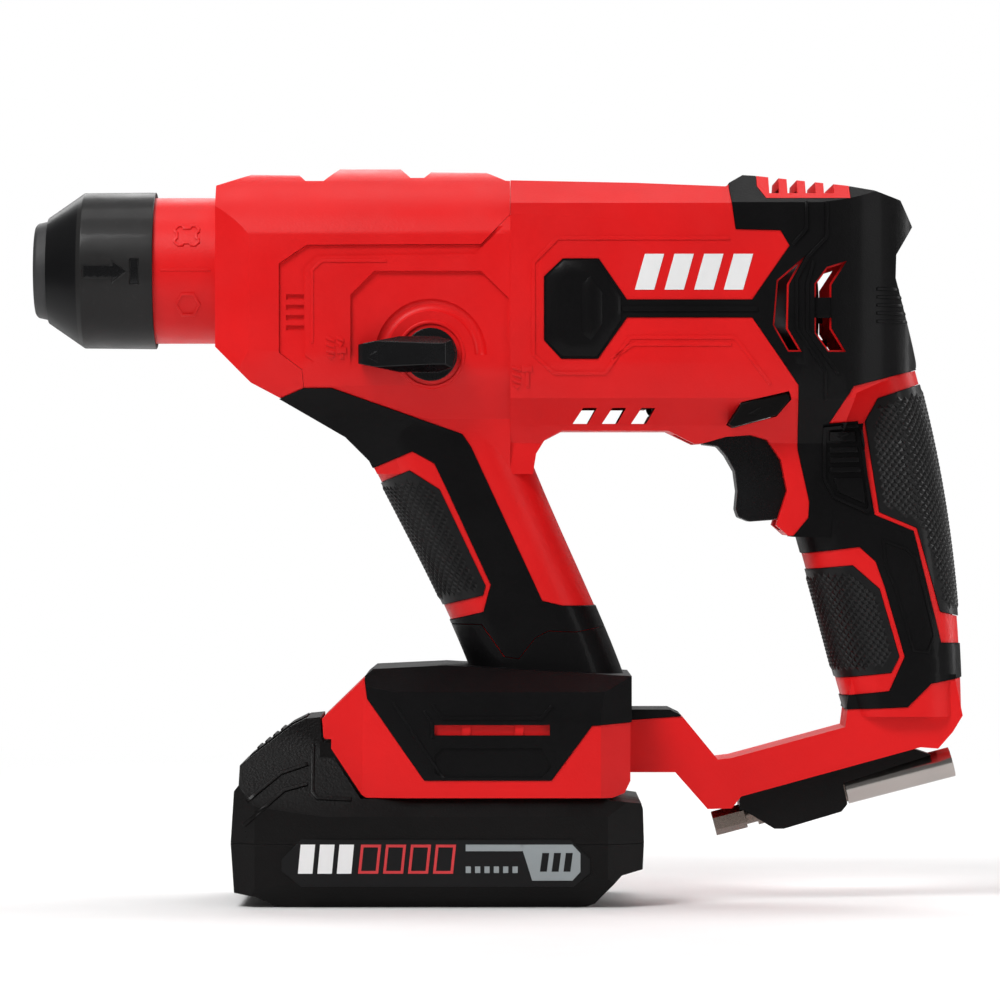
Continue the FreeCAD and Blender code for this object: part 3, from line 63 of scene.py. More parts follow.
def finish(name, colour, rough, metal=0.0, grain=2400, bump=0.25, cloud=0.10, vary=0.06, specular=0.5,
           brushed=None, coat=0.0, pits=0.0, dust=0.0):
    """A procedural material: clouded colour, uneven gloss, moulded or brushed grain, and a little dust."""
    made = bpy.data.materials.new(name)
    made.use_nodes = True
    tree = made.node_tree
    tree.nodes.clear()
    join = links_of(tree)
    new = tree.nodes.new
    out = new("ShaderNodeOutputMaterial")
    shade = new("ShaderNodeBsdfPrincipled")
    join(shade.outputs[0], out.inputs["Surface"])
    place = new("ShaderNodeTexCoord")
    scaled = new("ShaderNodeMapping")
    scaled.inputs["Scale"].default_value = brushed or (1, 1, 1)
    join(place.outputs["Object"], scaled.inputs["Vector"])

    def noise(scale, detail, source=place.outputs["Object"], rough_share=0.5):
        made_noise = new("ShaderNodeTexNoise")
        made_noise.inputs["Scale"].default_value = scale
        made_noise.inputs["Detail"].default_value = detail
        made_noise.inputs["Roughness"].default_value = rough_share
        join(source, made_noise.inputs["Vector"])
        return made_noise.outputs["Fac"]

    def spread(source, low, high, start=0.3, end=0.7):
        mapped = new("ShaderNodeMapRange")
        join(source, mapped.inputs["Value"])
        for key, value in (("From Min", start), ("From Max", end), ("To Min", low), ("To Max", high)):
            mapped.inputs[key].default_value = value
        return mapped.outputs["Result"]

    clouds = noise(38, 4)
    fine = noise(grain, 3, scaled.outputs["Vector"], 0.6)
    mix = new("ShaderNodeMix")
    mix.data_type = "RGBA"
    mix.inputs["A"].default_value = tuple(c * (1 - cloud) for c in colour) + (1,)
    mix.inputs["B"].default_value = tuple(min(1, c * (1 + cloud)) for c in colour) + (1,)
    join(spread(clouds, 0, 1), mix.inputs["Factor"])
    colour_out = mix.outputs["Result"]
    if dust:
        layer = new("ShaderNodeMix")
        layer.data_type = "RGBA"
        layer.inputs["B"].default_value = (0.32, 0.30, 0.28, 1)
        join(colour_out, layer.inputs["A"])
        join(spread(noise(420, 8, rough_share=0.7), 0, dust, 0.56, 0.74), layer.inputs["Factor"])
        colour_out = layer.outputs["Result"]
    join(colour_out, shade.inputs["Base Color"])
    gloss = new("ShaderNodeMath")
    gloss.operation = "ADD"
    join(spread(noise(90, 5), rough - vary, rough + vary), gloss.inputs[0])
    join(spread(fine, -vary * 0.6, vary * 0.6), gloss.inputs[1])
    join(gloss.outputs[0], shade.inputs["Roughness"])
    height = fine
    if pits:
        cells = new("ShaderNodeTexVoronoi")
        cells.inputs["Scale"].default_value = pits
        join(place.outputs["Object"], cells.inputs["Vector"])
        blend = new("ShaderNodeMath")
        blend.operation = "MULTIPLY_ADD"
        blend.inputs[1].default_value = 0.6
        join(cells.outputs["Distance"], blend.inputs[0])
        join(fine, blend.inputs[2])
        height = blend.outputs[0]
    relief = new("ShaderNodeBump")
    relief.inputs["Strength"].default_value = bump
    relief.inputs["Distance"].default_value = 0.08 * MM
    join(height, relief.inputs["Height"])
    join(relief.outputs["Normal"], shade.inputs["Normal"])
    shade.inputs["Metallic"].default_value = metal
    shade.inputs["Specular IOR Level"].default_value = specular
    shade.inputs["Coat Weight"].default_value = coat
    shade.inputs["Coat Roughness"].default_value = 0.12
    return made


def collar_finish(base):
    """The collar's finish, with its front cone darker than the sleeve behind it."""
    tree = base.node_tree
    join = links_of(tree)
    shade = next(n for n in tree.nodes if n.type == "BSDF_PRINCIPLED")
    place = next(n for n in tree.nodes if n.type == "TEX_COORD")
    parts = tree.nodes.new("ShaderNodeSeparateXYZ")
    join(place.outputs["Object"], parts.inputs[0])
    band = tree.nodes.new("ShaderNodeMapRange")
    band.inputs["From Min"].default_value = 13.1 * MM
    band.inputs["From Max"].default_value = 13.3 * MM
    join(parts.outputs["X"], band.inputs["Value"])
    colour_in = shade.inputs["Base Color"].links[0].from_socket
    mix = tree.nodes.new("ShaderNodeMix")
    mix.data_type = "RGBA"
    mix.inputs["A"].default_value = (0.003, 0.003, 0.0035, 1)
    join(band.outputs["Result"], mix.inputs["Factor"])
    join(colour_in, mix.inputs["B"])
    join(mix.outputs["Result"], shade.inputs["Base Color"])
    return base


FINISHES = {
    "red_plastic": finish("red_plastic", (0.70, 0.006, 0.007), 0.42, cloud=0.05, bump=0.34, pits=1500, specular=0.24),
    "soft_black": finish("soft_black", (0.0035, 0.0033, 0.0036), 0.42, cloud=0.25, bump=0.5, grain=3000, pits=1800,
                         specular=0.08, coat=0.05, dust=0.003),
    "pad_black": finish("pad_black", (0.0045, 0.0043, 0.0046), 0.46, cloud=0.2, bump=0.3, specular=0.20, coat=0.10,
                        dust=0.008),
    "black_plastic": finish("black_plastic", (0.0035, 0.003, 0.003), 0.36, cloud=0.2, bump=0.6, grain=1900,
                            pits=1300, specular=0.10, coat=0.07, dust=0.002),
    "gloss_black": finish("gloss_black", (0.0035, 0.0035, 0.004), 0.26, cloud=0.15, bump=0.06, specular=0.15, coat=0.3),
    "cap_rubber": finish("cap_rubber", (0.022, 0.022, 0.023), 0.58, cloud=0.12, bump=0.15, dust=0.04),
    "hard_steel": finish("hard_steel", (0.50, 0.50, 0.51), 0.22, 1, brushed=(8, 1, 1), grain=900, bump=0.12),
    "gear_steel": finish("gear_steel", (0.40, 0.40, 0.41), 0.32, 1, brushed=(6, 1, 1), grain=900, bump=0.2),
    "cast_alloy": finish("cast_alloy", (0.60, 0.61, 0.62), 0.48, 1, bump=0.5, grain=1600, pits=900),
    "can_steel": finish("can_steel", (0.10, 0.10, 0.105), 0.38, 1, brushed=(1, 9, 9), grain=500, bump=0.1),
    "magnet": finish("magnet", (0.07, 0.07, 0.075), 0.62, bump=0.5, pits=2200),
    "brass": finish("brass", (0.78, 0.56, 0.26), 0.28, 1, bump=0.12, grain=1400),
    "carbon": finish("carbon", (0.04, 0.04, 0.042), 0.6, 0.2, bump=0.5, pits=2600),
    "spring_steel": finish("spring_steel", (0.52, 0.52, 0.54), 0.28, 1, bump=0.15, grain=2200),
    "chrome": finish("chrome", (0.40, 0.37, 0.35), 0.18, 1, bump=0.05, grain=1200, vary=0.04, brushed=(1, 6, 6)),
    "dark_hex": finish("dark_hex", (0.18, 0.145, 0.125), 0.30, 1, bump=0.15, grain=1500, vary=0.08),
    "cell_wrap": finish("cell_wrap", (0.05, 0.16, 0.42), 0.35, bump=0.1, coat=0.2),
    "nylon": finish("nylon", (0.62, 0.60, 0.54), 0.45, bump=0.2),
    "lead_insulation": finish("lead_insulation", (0.02, 0.02, 0.022), 0.4, bump=0.1),
    "fan_nylon": finish("fan_nylon", (0.035, 0.035, 0.04), 0.42, bump=0.3),
    "white_print": finish("white_print", (0.82, 0.82, 0.82), 0.38, cloud=0.03, bump=0.08),
    "red_print": finish("red_print", (0.60, 0.03, 0.035), 0.38, cloud=0.05, bump=0.08),
    "grey_print": finish("grey_print", (0.27, 0.30, 0.31), 0.38, cloud=0.05, bump=0.08),
    "label_film": finish("label_film", (0.005, 0.005, 0.0055), 0.36, cloud=0.1, bump=0.12, grain=1200, specular=0.2),
}
COLLAR = collar_finish(finish("collar_plastic", (0.016, 0.0155, 0.0155), 0.40, cloud=0.15, bump=0.12, grain=3000,
                              specular=0.14, coat=0.08, dust=0.02))

SLOTS = {
    "red_plastic": ["front_housing", "left_shell", "right_shell", "top_grille"],
    "soft_black": ["left_rear_overmould", "right_rear_overmould", "left_front_overmould", "right_front_overmould",
                   "foot_cover"],
    "pad_black": ["handle_back_pad", "handle_front_pad", "front_grip_pad"],
    "black_plastic": ["battery_lower_case", "battery_upper_case", "bit_clip", "battery_latch",
                      "direction_selector"],
    "gloss_black": ["mode_knob", "trigger"],
    "cap_rubber": ["dust_cap", "bolt_buffer"],
    "hard_steel": ["spindle", "impact_bolt", "ram", "piston", "piston_pin", "ball_left", "ball_right", "layshaft",
                   "armature"],
    "gear_steel": ["spindle_gear", "layshaft_gear", "spindle_pinion", "clutch_sleeve", "wobble_hub", "wobble_ring",
                   "motor_pinion", "shift_plate"],
    "cast_alloy": ["front_plate", "gear_carrier"],
    "can_steel": ["motor_can", "spindle_bearing", "shaft_bearings", "housing_screws", "battery_screws"],
    "magnet": ["motor_magnets"],
    "brass": ["battery_contacts"],
    "carbon": ["motor_brushes"],
    "spring_steel": ["collar_spring", "trigger_spring", "battery_latch_spring"],
    "chrome": ["adapter_sleeve"],
    "dark_hex": ["adapter_shank"],
    "cell_wrap": ["battery_cells"],
    "nylon": ["terminal_block", "switch_body"],
    "lead_insulation": ["leads"],
    "fan_nylon": ["motor_fan", "motor_end_cap"],
}


# Nodes with sunk panels, whose flat faces are left as they are.
PANELLED = ("left_shell", "right_shell", "foot_cover", "chuck_collar", "battery_upper_case", "battery_lower_case")


def paint(target, made):
    target.data.materials.clear()
    target.data.materials.append(made)


def dress_cad():
    """Materials, softened edges and clean shading on every CAD node."""
    outside = set(SLOTS["red_plastic"] + SLOTS["soft_black"] + SLOTS["pad_black"] + SLOTS["black_plastic"]
                  + SLOTS["gloss_black"] + ["dust_cap", "chuck_collar", "adapter_sleeve", "adapter_shank"])
    finish_of = {node: FINISHES[slot] for slot, group in SLOTS.items() for node in group}
    finish_of["chuck_collar"] = COLLAR
    for name, target in NODES.items():
        paint(target, finish_of[name])
        weld = target.modifiers.new("weld", "WELD")
        weld.merge_threshold = 0.004 * MM
        if name in outside:
            if name not in PANELLED:
                flat = target.modifiers.new("flat", "DECIMATE")
                flat.decimate_type = "DISSOLVE"
                flat.angle_limit = math.radians(0.6)
            edge = target.modifiers.new("edge", "BEVEL")
            edge.width = (0.45 if name in ("battery_lower_case", "battery_upper_case", "trigger") else 0.35) * MM
            edge.segments = 2
            edge.limit_method = "ANGLE"
            edge.angle_limit = math.radians(24)
            edge.use_clamp_overlap = True
            edge.miter_outer = "MITER_ARC"
            edge.harden_normals = False
        even = target.modifiers.new("even", "WEIGHTED_NORMAL")
        even.keep_sharp = True
        smooth = [True] * len(target.data.polygons)
        target.data.polygons.foreach_set("use_smooth", smooth)


# ---------------------------------------------------------------- plates laid on the CAD surfaces

def surface(*names):
    """A tree for finding where rays meet these CAD nodes."""
    points, faces = [], []
    for name in names:
        mesh = NODES[name].data
        mesh.calc_loop_triangles()
        start = len(points)
        points.extend(v.co.copy() for v in mesh.vertices)
        faces.extend(tuple(start + i for i in t.vertices) for t in mesh.loop_triangles)
    return BVHTree.FromPolygons(points, faces)


def stroke(points, width, closed=False):
    """Quads of a line drawn through points, mitred at its bends."""
    count = len(points)
    sides = []
    for i, point in enumerate(points):
        here = Vector(point)
        before = Vector(points[i - 1]) if (i or closed) else None
        after = Vector(points[(i + 1) % count]) if (i < count - 1 or closed) else None
        way_in = (here - before).normalized() if before is not None else (after - here).normalized()
        way_out = (after - here).normalized() if after is not None else way_in
        normal_in = Vector((-way_in.y, way_in.x))
        normal_out = Vector((-way_out.y, way_out.x))
        mitre = (normal_in + normal_out).normalized()
        reach = width / 2 / max(0.5, mitre.dot(normal_in))
        sides.append((here + mitre * reach, here - mitre * reach))
    last = count if closed else count - 1
    return [(sides[i][0], sides[i][1], sides[(i + 1) % count][1], sides[(i + 1) % count][0]) for i in range(last)]


def circle(x, z, radius, count=40, start=0, end=360):
    steps = count if end - start == 360 else count + 1
    return [(x + radius * math.cos(math.radians(start + (end - start) * i / count)),
             z + radius * math.sin(math.radians(start + (end - start) * i / count))) for i in range(steps)]


def slab(x, z, lean=0):
    """A four-sided block between two x and two z values, its top leaning towards +X."""
    return [(x[0], z[0]), (x[1], z[0]), (x[1] + lean, z[1]), (x[0] + lean, z[1])]


def finished(mesh, name, body, slot, soft=0.1):
    """Turns a bmesh into a piece of the object that rides on a body."""
    bmesh.ops.recalc_face_normals(mesh, faces=mesh.faces[:])
    data = bpy.data.meshes.new(name)
    mesh.to_mesh(data)
    mesh.free()
    piece = bpy.data.objects.new(name, data)
    bpy.context.scene.collection.objects.link(piece)
    paint(piece, FINISHES[slot])
    if soft:
        edge = piece.modifiers.new("edge", "BEVEL")
        edge.width = soft * MM
        edge.segments = 2
        edge.limit_method = "ANGLE"
        edge.angle_limit = math.radians(50)
        even = piece.modifiers.new("even", "WEIGHTED_NORMAL")
        even.keep_sharp = True
        data.polygons.foreach_set("use_smooth", [True] * len(data.polygons))
    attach(piece, body)
    return piece


def raised(name, outlines, tree, body, slot, height=0.25, side=-1, sink=0.25, step=2.0, soft=0.1, flat_y=None):
    """Plates that stand off a CAD surface by height, following it; outlines are loops of (x, z).

    With flat_y the surface is the plane that far from the middle, in millimetres."""
    mesh = bmesh.new()
    for loop in outlines:
        mesh.faces.new([mesh.verts.new((x * MM, 0, z * MM)) for x, z in loop])
    bmesh.ops.remove_doubles(mesh, verts=mesh.verts[:], dist=0.002 * MM)
    for _ in range(6):
        bmesh.ops.triangulate(mesh, faces=mesh.faces[:])
        long_edges = [e for e in mesh.edges if e.calc_length() > step * MM]
        if not long_edges:
            break
        bmesh.ops.subdivide_edges(mesh, edges=long_edges, cuts=1)
    for v in mesh.verts:
        if flat_y is not None:
            v.co.y = side * (flat_y - sink) * MM
            continue
        spot = tree.ray_cast(Vector((v.co.x, side * 0.08, v.co.z)), Vector((0, -side, 0)))[0]
        if spot is None:
            spot = tree.find_nearest(Vector((v.co.x, side * 0.03, v.co.z)))[0]
        v.co.y = spot.y - side * sink * MM
    grown = bmesh.ops.extrude_face_region(mesh, geom=mesh.faces[:])
    for v in grown["geom"]:
        if isinstance(v, bmesh.types.BMVert):
            v.co.y += side * (height + sink) * MM
    return finished(mesh, name, body, slot, soft)


def faceted(name, rings, tree, body, slot, side=-1, soft=0.15):
    """A pad built of loops with equal counts, each given as (outline, height above the CAD surface)."""
    mesh = bmesh.new()
    loops = []
    for outline, height in rings:
        loop = []
        for x, z in outline:
            spot = tree.ray_cast(Vector((x * MM, side * 0.08, z * MM)), Vector((0, -side, 0)))[0]
            loop.append(mesh.verts.new((x * MM, spot.y + side * height * MM, z * MM)))
        loops.append(loop)
    count = len(loops[0])
    for low, high in zip(loops, loops[1:]):
        for i in range(count):
            mesh.faces.new((low[i], low[(i + 1) % count], high[(i + 1) % count], high[i]))
    mesh.faces.new(loops[0])
    mesh.faces.new(loops[-1])
    return finished(mesh, name, body, slot, soft)


# ---------------------------------------------------------------- marks and trim details

LOBED_SHANK = [
    (43.0, 12.6), (44.2, 12.6), (44.6, 11.9), (46.4, 11.9), (46.8, 12.6), (48.0, 12.6), (49.0, 11.6), (49.0, 10.9),
    (48.3, 10.4), (48.3, 9.0), (49.0, 8.5), (49.0, 7.7), (48.0, 6.8), (46.8, 6.8), (46.4, 7.5), (44.6, 7.5),
    (44.2, 6.8), (43.0, 6.8), (42.0, 7.7), (42.0, 8.5), (42.7, 9.0), (42.7, 10.4), (42.0, 10.9), (42.0, 11.6),
]
COLLAR_ARROW = [(15.6, -2.6), (24.1, -2.6), (24.1, -3.7), (27.7, -1), (24.1, 1.7), (24.1, 0.6), (15.6, 0.6)]
COLLAR_STOP = slab((29.3, 31.3), (-4.6, 2.5))
MARK_BARS = [slab((176 + 8.6 * i, 181.6 + 8.6 * i), (-6.6, 3.8), 2.9) for i in range(4)]
OCTAGON = [(150.2, -21), (150.2, -3), (155.3, 1.9), (165.2, 1.9), (172, -8.6), (172, -15.4), (165, -26), (155, -26)]
OCTAGON_TOP = [
    (154.2, -19.4), (154.2, -4.6), (156.8, -2), (163.6, -2), (169.2, -9.8), (169.2, -14.2), (163.6, -22), (156.8, -22),
]
HEX_RIM = [(160.4, -19), (160.4, -5.2), (163.2, -2.6), (166.6, -7.6), (166.6, -16.6), (163.2, -21.4)]
HEX_TOP = [(162, -17.8), (162, -6.4), (163.2, -5.4), (164.4, -7.8), (164.4, -16.4), (163.2, -18.8)]
BODY_LEDGES = [
    [(203.4, 8.4), (153.6, 8.4), (146.6, 1.4), (146.6, -25.4), (152.6, -30.8), (167.4, -30.8), (174.6, -20.4),
     (205, -20.4), (215.4, -34)],
    [(169, -26.8), (175.4, -22.4), (204, -22.4)],
]
KNOB_LEDGE = [(82.4, -22), (82.4, -0.8), (85.2, 1.8), (104, 1.8)]
HANDLE_PANEL = [
    (248.9, -79.4), (255.6, -81.8), (258.6, -84.8), (263.9, -107), (262, -112), (257.8, -111.6), (252.4, -93),
    (249.5, -86.4),
]
HANDLE_PLATE = [(231.6, -46.9), (242, -45.8), (245, -70.2), (244, -70.9), (234.4, -66.7), (231.6, -61.2)]
HANDLE_BLOCKS = [
    [(233, -50.6), (233, -47.9), (240.6, -47.4), (240.9, -50.4)],
    [(233.1, -53.8), (233.1, -52.3), (241.3, -52.1), (241.5, -53.6)],
    [(233.1, -56.7), (233.1, -55.2), (241.7, -55), (241.9, -56.5)],
    [(233.2, -59.6), (233.2, -58.1), (242.1, -57.9), (242.3, -59.4)],
    [(234.4, -61.2), (242.6, -61), (243.6, -68.7), (235.6, -65.2)],
]
BAND_LINES = [
    [(225.8, 19.2), (225.8, 11.1), (221.8, 6.6)],
    [(231.7, 19.2), (231.7, 8.8), (226.2, 3), (222.9, -3.4), (222.9, -17.8), (231.4, -30.5), (231.4, -38.6)],
    [(227.9, 1.8), (226.0, -5), (226.0, -18), (229.6, -23.4), (235, -31)],
]
FOOT_LINES = [
    [(117.4, -126.4), (120.4, -130.6), (148.8, -130.6), (152, -126.8)],
    [(114.9, -128.4), (117.2, -131.6), (117.2, -136.4)],
    [(106, -126), (117.6, -143.6), (120.6, -148)],
]
FOOT_DIVIDERS = [slab((125.9, 128.4), (-135.7, -132.5)), slab((141.2, 143.7), (-135.7, -132.5))]
SELECTOR_EDGE = [(203.2, -45.6), (204.6, -46.4), (217.3, -43), (221.3, -38.2), (220.7, -36.3), (207.2, -39.4)]
VENT_BAR = slab((227.8, 233.6), (-14.7, -8.8))
BATTERY_LINES = [
    [(63.4, -154.8), (73.4, -146.6), (81.2, -144)],
    [(62.6, -161.8), (74.4, -151.4), (81.2, -149.6)],
    [(82.6, -138.4), (82.6, -152), (84.2, -153.6), (94, -154)],
]
BATTERY_PANEL = [(73.9, -174.6), (79.5, -179.1), (158.1, -179.1), (162.8, -175.1), (162.8, -171.3), (157.2, -165.6),
                 (79.5, -165.6), (73.9, -171.3)]
LABEL_WHITE = [slab((78.6 + 5.6 * i, 82.8 + 5.6 * i), (-175.4, -167), 0.8) for i in range(3)]
LABEL_RED = [stroke(slab((96.4 + 7.2 * i, 101.4 + 7.2 * i), (-175, -167.4), 0.8), 0.8, True) for i in range(4)]
LABEL_GREY = [
    slab((127, 143.4), (-168.9, -167)),
    [(142.9, -167), (146.2, -177.4), (157.8, -177.4), (160.1, -174.9), (160.1, -169.5), (157.8, -167)],
]
LABEL_TICKS = [slab((127 + 2.7 * i, 128.5 + 2.7 * i), (-175.2, -173.3)) for i in range(6)]
LABEL_DARK = [slab((148.4 + 3.4 * i, 150.4 + 3.4 * i), (-174.8, -169.4), 0.7) for i in range(3)]


def drill_mark(x, z, high=7, wide=2.6, turns=3):
    """A small twist-drill symbol: leaning flutes above a point."""
    pitch = (high - 1.6) / turns
    flutes = [[(x, z - pitch * i), (x + wide, z - pitch * i - 0.9), (x + wide, z - pitch * i - 1.8),
               (x, z - pitch * i - 0.9)] for i in range(turns)]
    tip = [(x, z - high + 1.6), (x + wide, z - high + 1.3), (x + wide / 2, z - high)]
    return flutes + [tip]


def hammer_mark(x, z, high=6.4):
    """A small hammer symbol: a head over a handle."""
    return [slab((x, x + 3), (z - 1.8, z)), slab((x + 1.1, x + 2.1), (z - high, z - 1.9))]


def marks():
    """Raised and printed details on both sides of the tool."""
    neck = surface("front_housing")
    knob = surface("mode_knob")
    for side, hand in ((-1, "left"), (1, "right")):
        shell = surface(hand + "_shell")
        soft = surface(hand + "_rear_overmould")
        foot = surface("foot_cover")
        pack = surface("battery_upper_case", "battery_lower_case")
        raised(f"neck_shank_mark_{hand}", stroke(LOBED_SHANK, 0.7, True), neck, "housing", "red_plastic", 0.42, side)
        raised(f"neck_hex_mark_{hand}", stroke(circle(45.8, -10.6, 3.4, 6), 0.75, True), neck, "housing",
               "red_plastic", 0.42, side)
        raised(f"neck_rule_{hand}", stroke([(38, -0.6), (52.6, -0.6)], 0.7), neck, "housing", "red_plastic", 0.18, side)
        raised(f"maker_bars_{hand}", MARK_BARS, shell, "housing", "white_print", 0.18, side, soft=0.05)
        faceted(f"octagon_pad_{hand}", [(OCTAGON, -0.3), (OCTAGON, 0.2), (OCTAGON_TOP, 2)], soft, "housing",
                "soft_black", side)
        faceted(f"octagon_grip_{hand}", [(HEX_RIM, 1.8), (HEX_RIM, 2.1), (HEX_TOP, 3)], soft, "housing",
                "soft_black", side)
        for i, line in enumerate(BODY_LEDGES):
            raised(f"body_ledge_{i}_{hand}", stroke(line, 1.0), shell, "housing", "red_plastic", 0.35, side, soft=0.3)
        raised(f"knob_ledge_{hand}", stroke(KNOB_LEDGE, 0.8), shell, "housing", "red_plastic", 0.3, side, soft=0.25)
        raised(f"handle_panel_{hand}", stroke(HANDLE_PANEL, 0.7, True), soft, "housing", "soft_black", 0.35, side,
               soft=0.2)
        raised(f"foot_dividers_{hand}", FOOT_DIVIDERS, foot, "housing", "red_plastic", 0.9, side, flat_y=34.6)
        raised(f"vent_bar_{hand}", [VENT_BAR], soft, "housing", "soft_black", 0.3, side, sink=2.4, flat_y=27.6)
        raised(f"waist_rib_{hand}", stroke([(172.4, -12.1), (211.6, -12.1)], 1.5), soft, "housing", "soft_black",
               0.45, side, soft=0.35)
        raised(f"handle_plate_rim_{hand}", stroke(HANDLE_PLATE, 0.9, True), soft, "housing", "soft_black", 0.9,
               side, soft=0.25)
        raised(f"handle_plate_blocks_{hand}", HANDLE_BLOCKS, soft, "housing", "soft_black", 0.9, side, soft=0.3)
        for i, line in enumerate(BAND_LINES):
            raised(f"band_line_{i}_{hand}", stroke(line, 0.9), soft, "housing", "soft_black", 0.6, side, soft=0.3)
        for i, line in enumerate(FOOT_LINES):
            raised(f"foot_line_{i}_{hand}", stroke(line, 0.8), foot, "housing", "soft_black", 0.4, side, soft=0.25)
        for i, line in enumerate(BATTERY_LINES):
            raised(f"battery_ridge_{i}_{hand}", stroke(line, 1.0), pack, "battery", "black_plastic", 0.5, side,
                   soft=0.3)
        raised(f"label_film_{hand}", [BATTERY_PANEL], pack, "battery", "label_film", 0.12, side, soft=0.05, step=20, flat_y=37.4)
        raised(f"label_white_{hand}", LABEL_WHITE, pack, "battery", "white_print", 0.2, side, soft=0.04, step=20, flat_y=37.4)
        raised(f"label_red_{hand}", sum(LABEL_RED, []), pack, "battery", "red_print", 0.2, side, soft=0.04, step=20, flat_y=37.4)
        raised(f"label_grey_{hand}", LABEL_GREY + LABEL_TICKS, pack, "battery", "grey_print", 0.2, side, soft=0.04, step=20, flat_y=37.4)
        raised(f"label_dark_{hand}", LABEL_DARK, pack, "battery", "label_film", 0.26, side, soft=0.03, step=20, flat_y=37.4)
    shell = surface("left_shell")
    raised("knob_ring", stroke(circle(116.8, -25.4, 9.4, 64), 1.1, True), shell, "housing", "red_plastic", 0.5, soft=0.3)
    raised("mode_mark_front", drill_mark(86.4, -20) + drill_mark(89.6, -20, 3.4, 2, 1) + hammer_mark(89.4, -23.2, 3.4),
           shell, "housing", "red_plastic", 0.4)
    raised("mode_mark_rear", drill_mark(140.4, -28.6) + hammer_mark(143.3, -28.6), shell, "housing", "red_plastic", 0.4)
    raised("knob_pointer", stroke([(98.6, -26.2), (101.4, -24.7), (101.4, -27.7)], 0.4, True), knob, "knob",
           "gloss_black", 0.2, soft=0.08)
    raised("collar_arrow_inlay", [COLLAR_ARROW], surface("chuck_collar"), "collar", "gloss_black", 0.12, soft=0.05)
    raised("collar_stop_inlay", [COLLAR_STOP], surface("chuck_collar"), "collar", "gloss_black", 0.12, soft=0.05)
    raised("selector_mark", [[(209, -42.6), (213.2, -40.4), (212.6, -42.8)]], surface("direction_selector"), "selector",
           "black_plastic", 0.25)


# ---------------------------------------------------------------- knurled grip pads

# Stations of the two grips, in millimetres: height, front edge, rear edge, half width.
GRIP = [(-42, 92, 141, 19), (-80, 111.3, 156.4, 18.4), (-104, 123, 167, 18.6), (-124, 131, 174.7, 20)]
HANDLE = [(-16, 214, 255, 15.2), (-50, 217, 264, 17.2), (-84, 226.3, 269.6, 16.9), (-106, 232.3, 271.6, 16.6),
          (-131, 239.3, 272.6, 17.2)]
GRIP_PAD = [(85, -69.2), (110.5, -58.9), (119.4, -64.5), (132.8, -92.6), (132, -95.5), (85, -107.2)]
BACK_PAD = [(247.2, -37.8), (290, -23.5), (290, -106.2), (265.6, -100.3), (258.6, -75.8), (247.6, -71.2), (243.4, -44.7)]
FRONT_PAD = [(205, -89.8), (240, -86.6), (247.9, -93.5), (253.7, -113.4), (251.3, -118.2), (205, -123)]


def section(stations, z):
    """Front edge, rear edge and half width of a grip at a height."""
    for (z0, *a), (z1, *b) in zip(stations, stations[1:]):
        if z >= z1 or (z1, *b) == stations[-1]:
            share = (z - z0) / (z1 - z0)
            return [p + (q - p) * share for p, q in zip(a, b)]


def wrapped(stations, face, s, z):
    """Point and outward direction on a grip: s is the distance round it from the middle of its front or rear face."""
    front, rear, half = section(stations, z)
    corner = half * 0.72
    flat, turn = half - corner, corner * math.pi / 2
    sign = 1 if s >= 0 else -1
    along = abs(s)
    if along <= flat:
        depth, y, out = 0, along, (-1, 0)
    elif along <= flat + turn:
        angle = (along - flat) / corner
        depth, y = corner * (1 - math.cos(angle)), flat + corner * math.sin(angle)
        out = (-math.cos(angle), math.sin(angle))
    else:
        depth, y, out = corner + along - flat - turn, half, (0, 1)
    x = front + depth if face == "front" else rear - depth
    out_x = out[0] if face == "front" else -out[0]
    return Vector((x, y * sign, z)) * MM, Vector((out_x, out[1] * sign, 0)).normalized()


def edge_distance(outline, x, z):
    """Signed distance in the side view from a point to an outline, positive inside."""
    inside, nearest = False, 1e9
    for (x0, z0), (x1, z1) in zip(outline, outline[1:] + outline[:1]):
        if (z0 > z) != (z1 > z) and x < (x1 - x0) * (z - z0) / (z1 - z0) + x0:
            inside = not inside
        run = max(0, min(1, ((x - x0) * (x1 - x0) + (z - z0) * (z1 - z0)) / ((x1 - x0) ** 2 + (z1 - z0) ** 2)))
        nearest = min(nearest, math.hypot(x - x0 - run * (x1 - x0), z - z0 - run * (z1 - z0)))
    return nearest if inside else -nearest


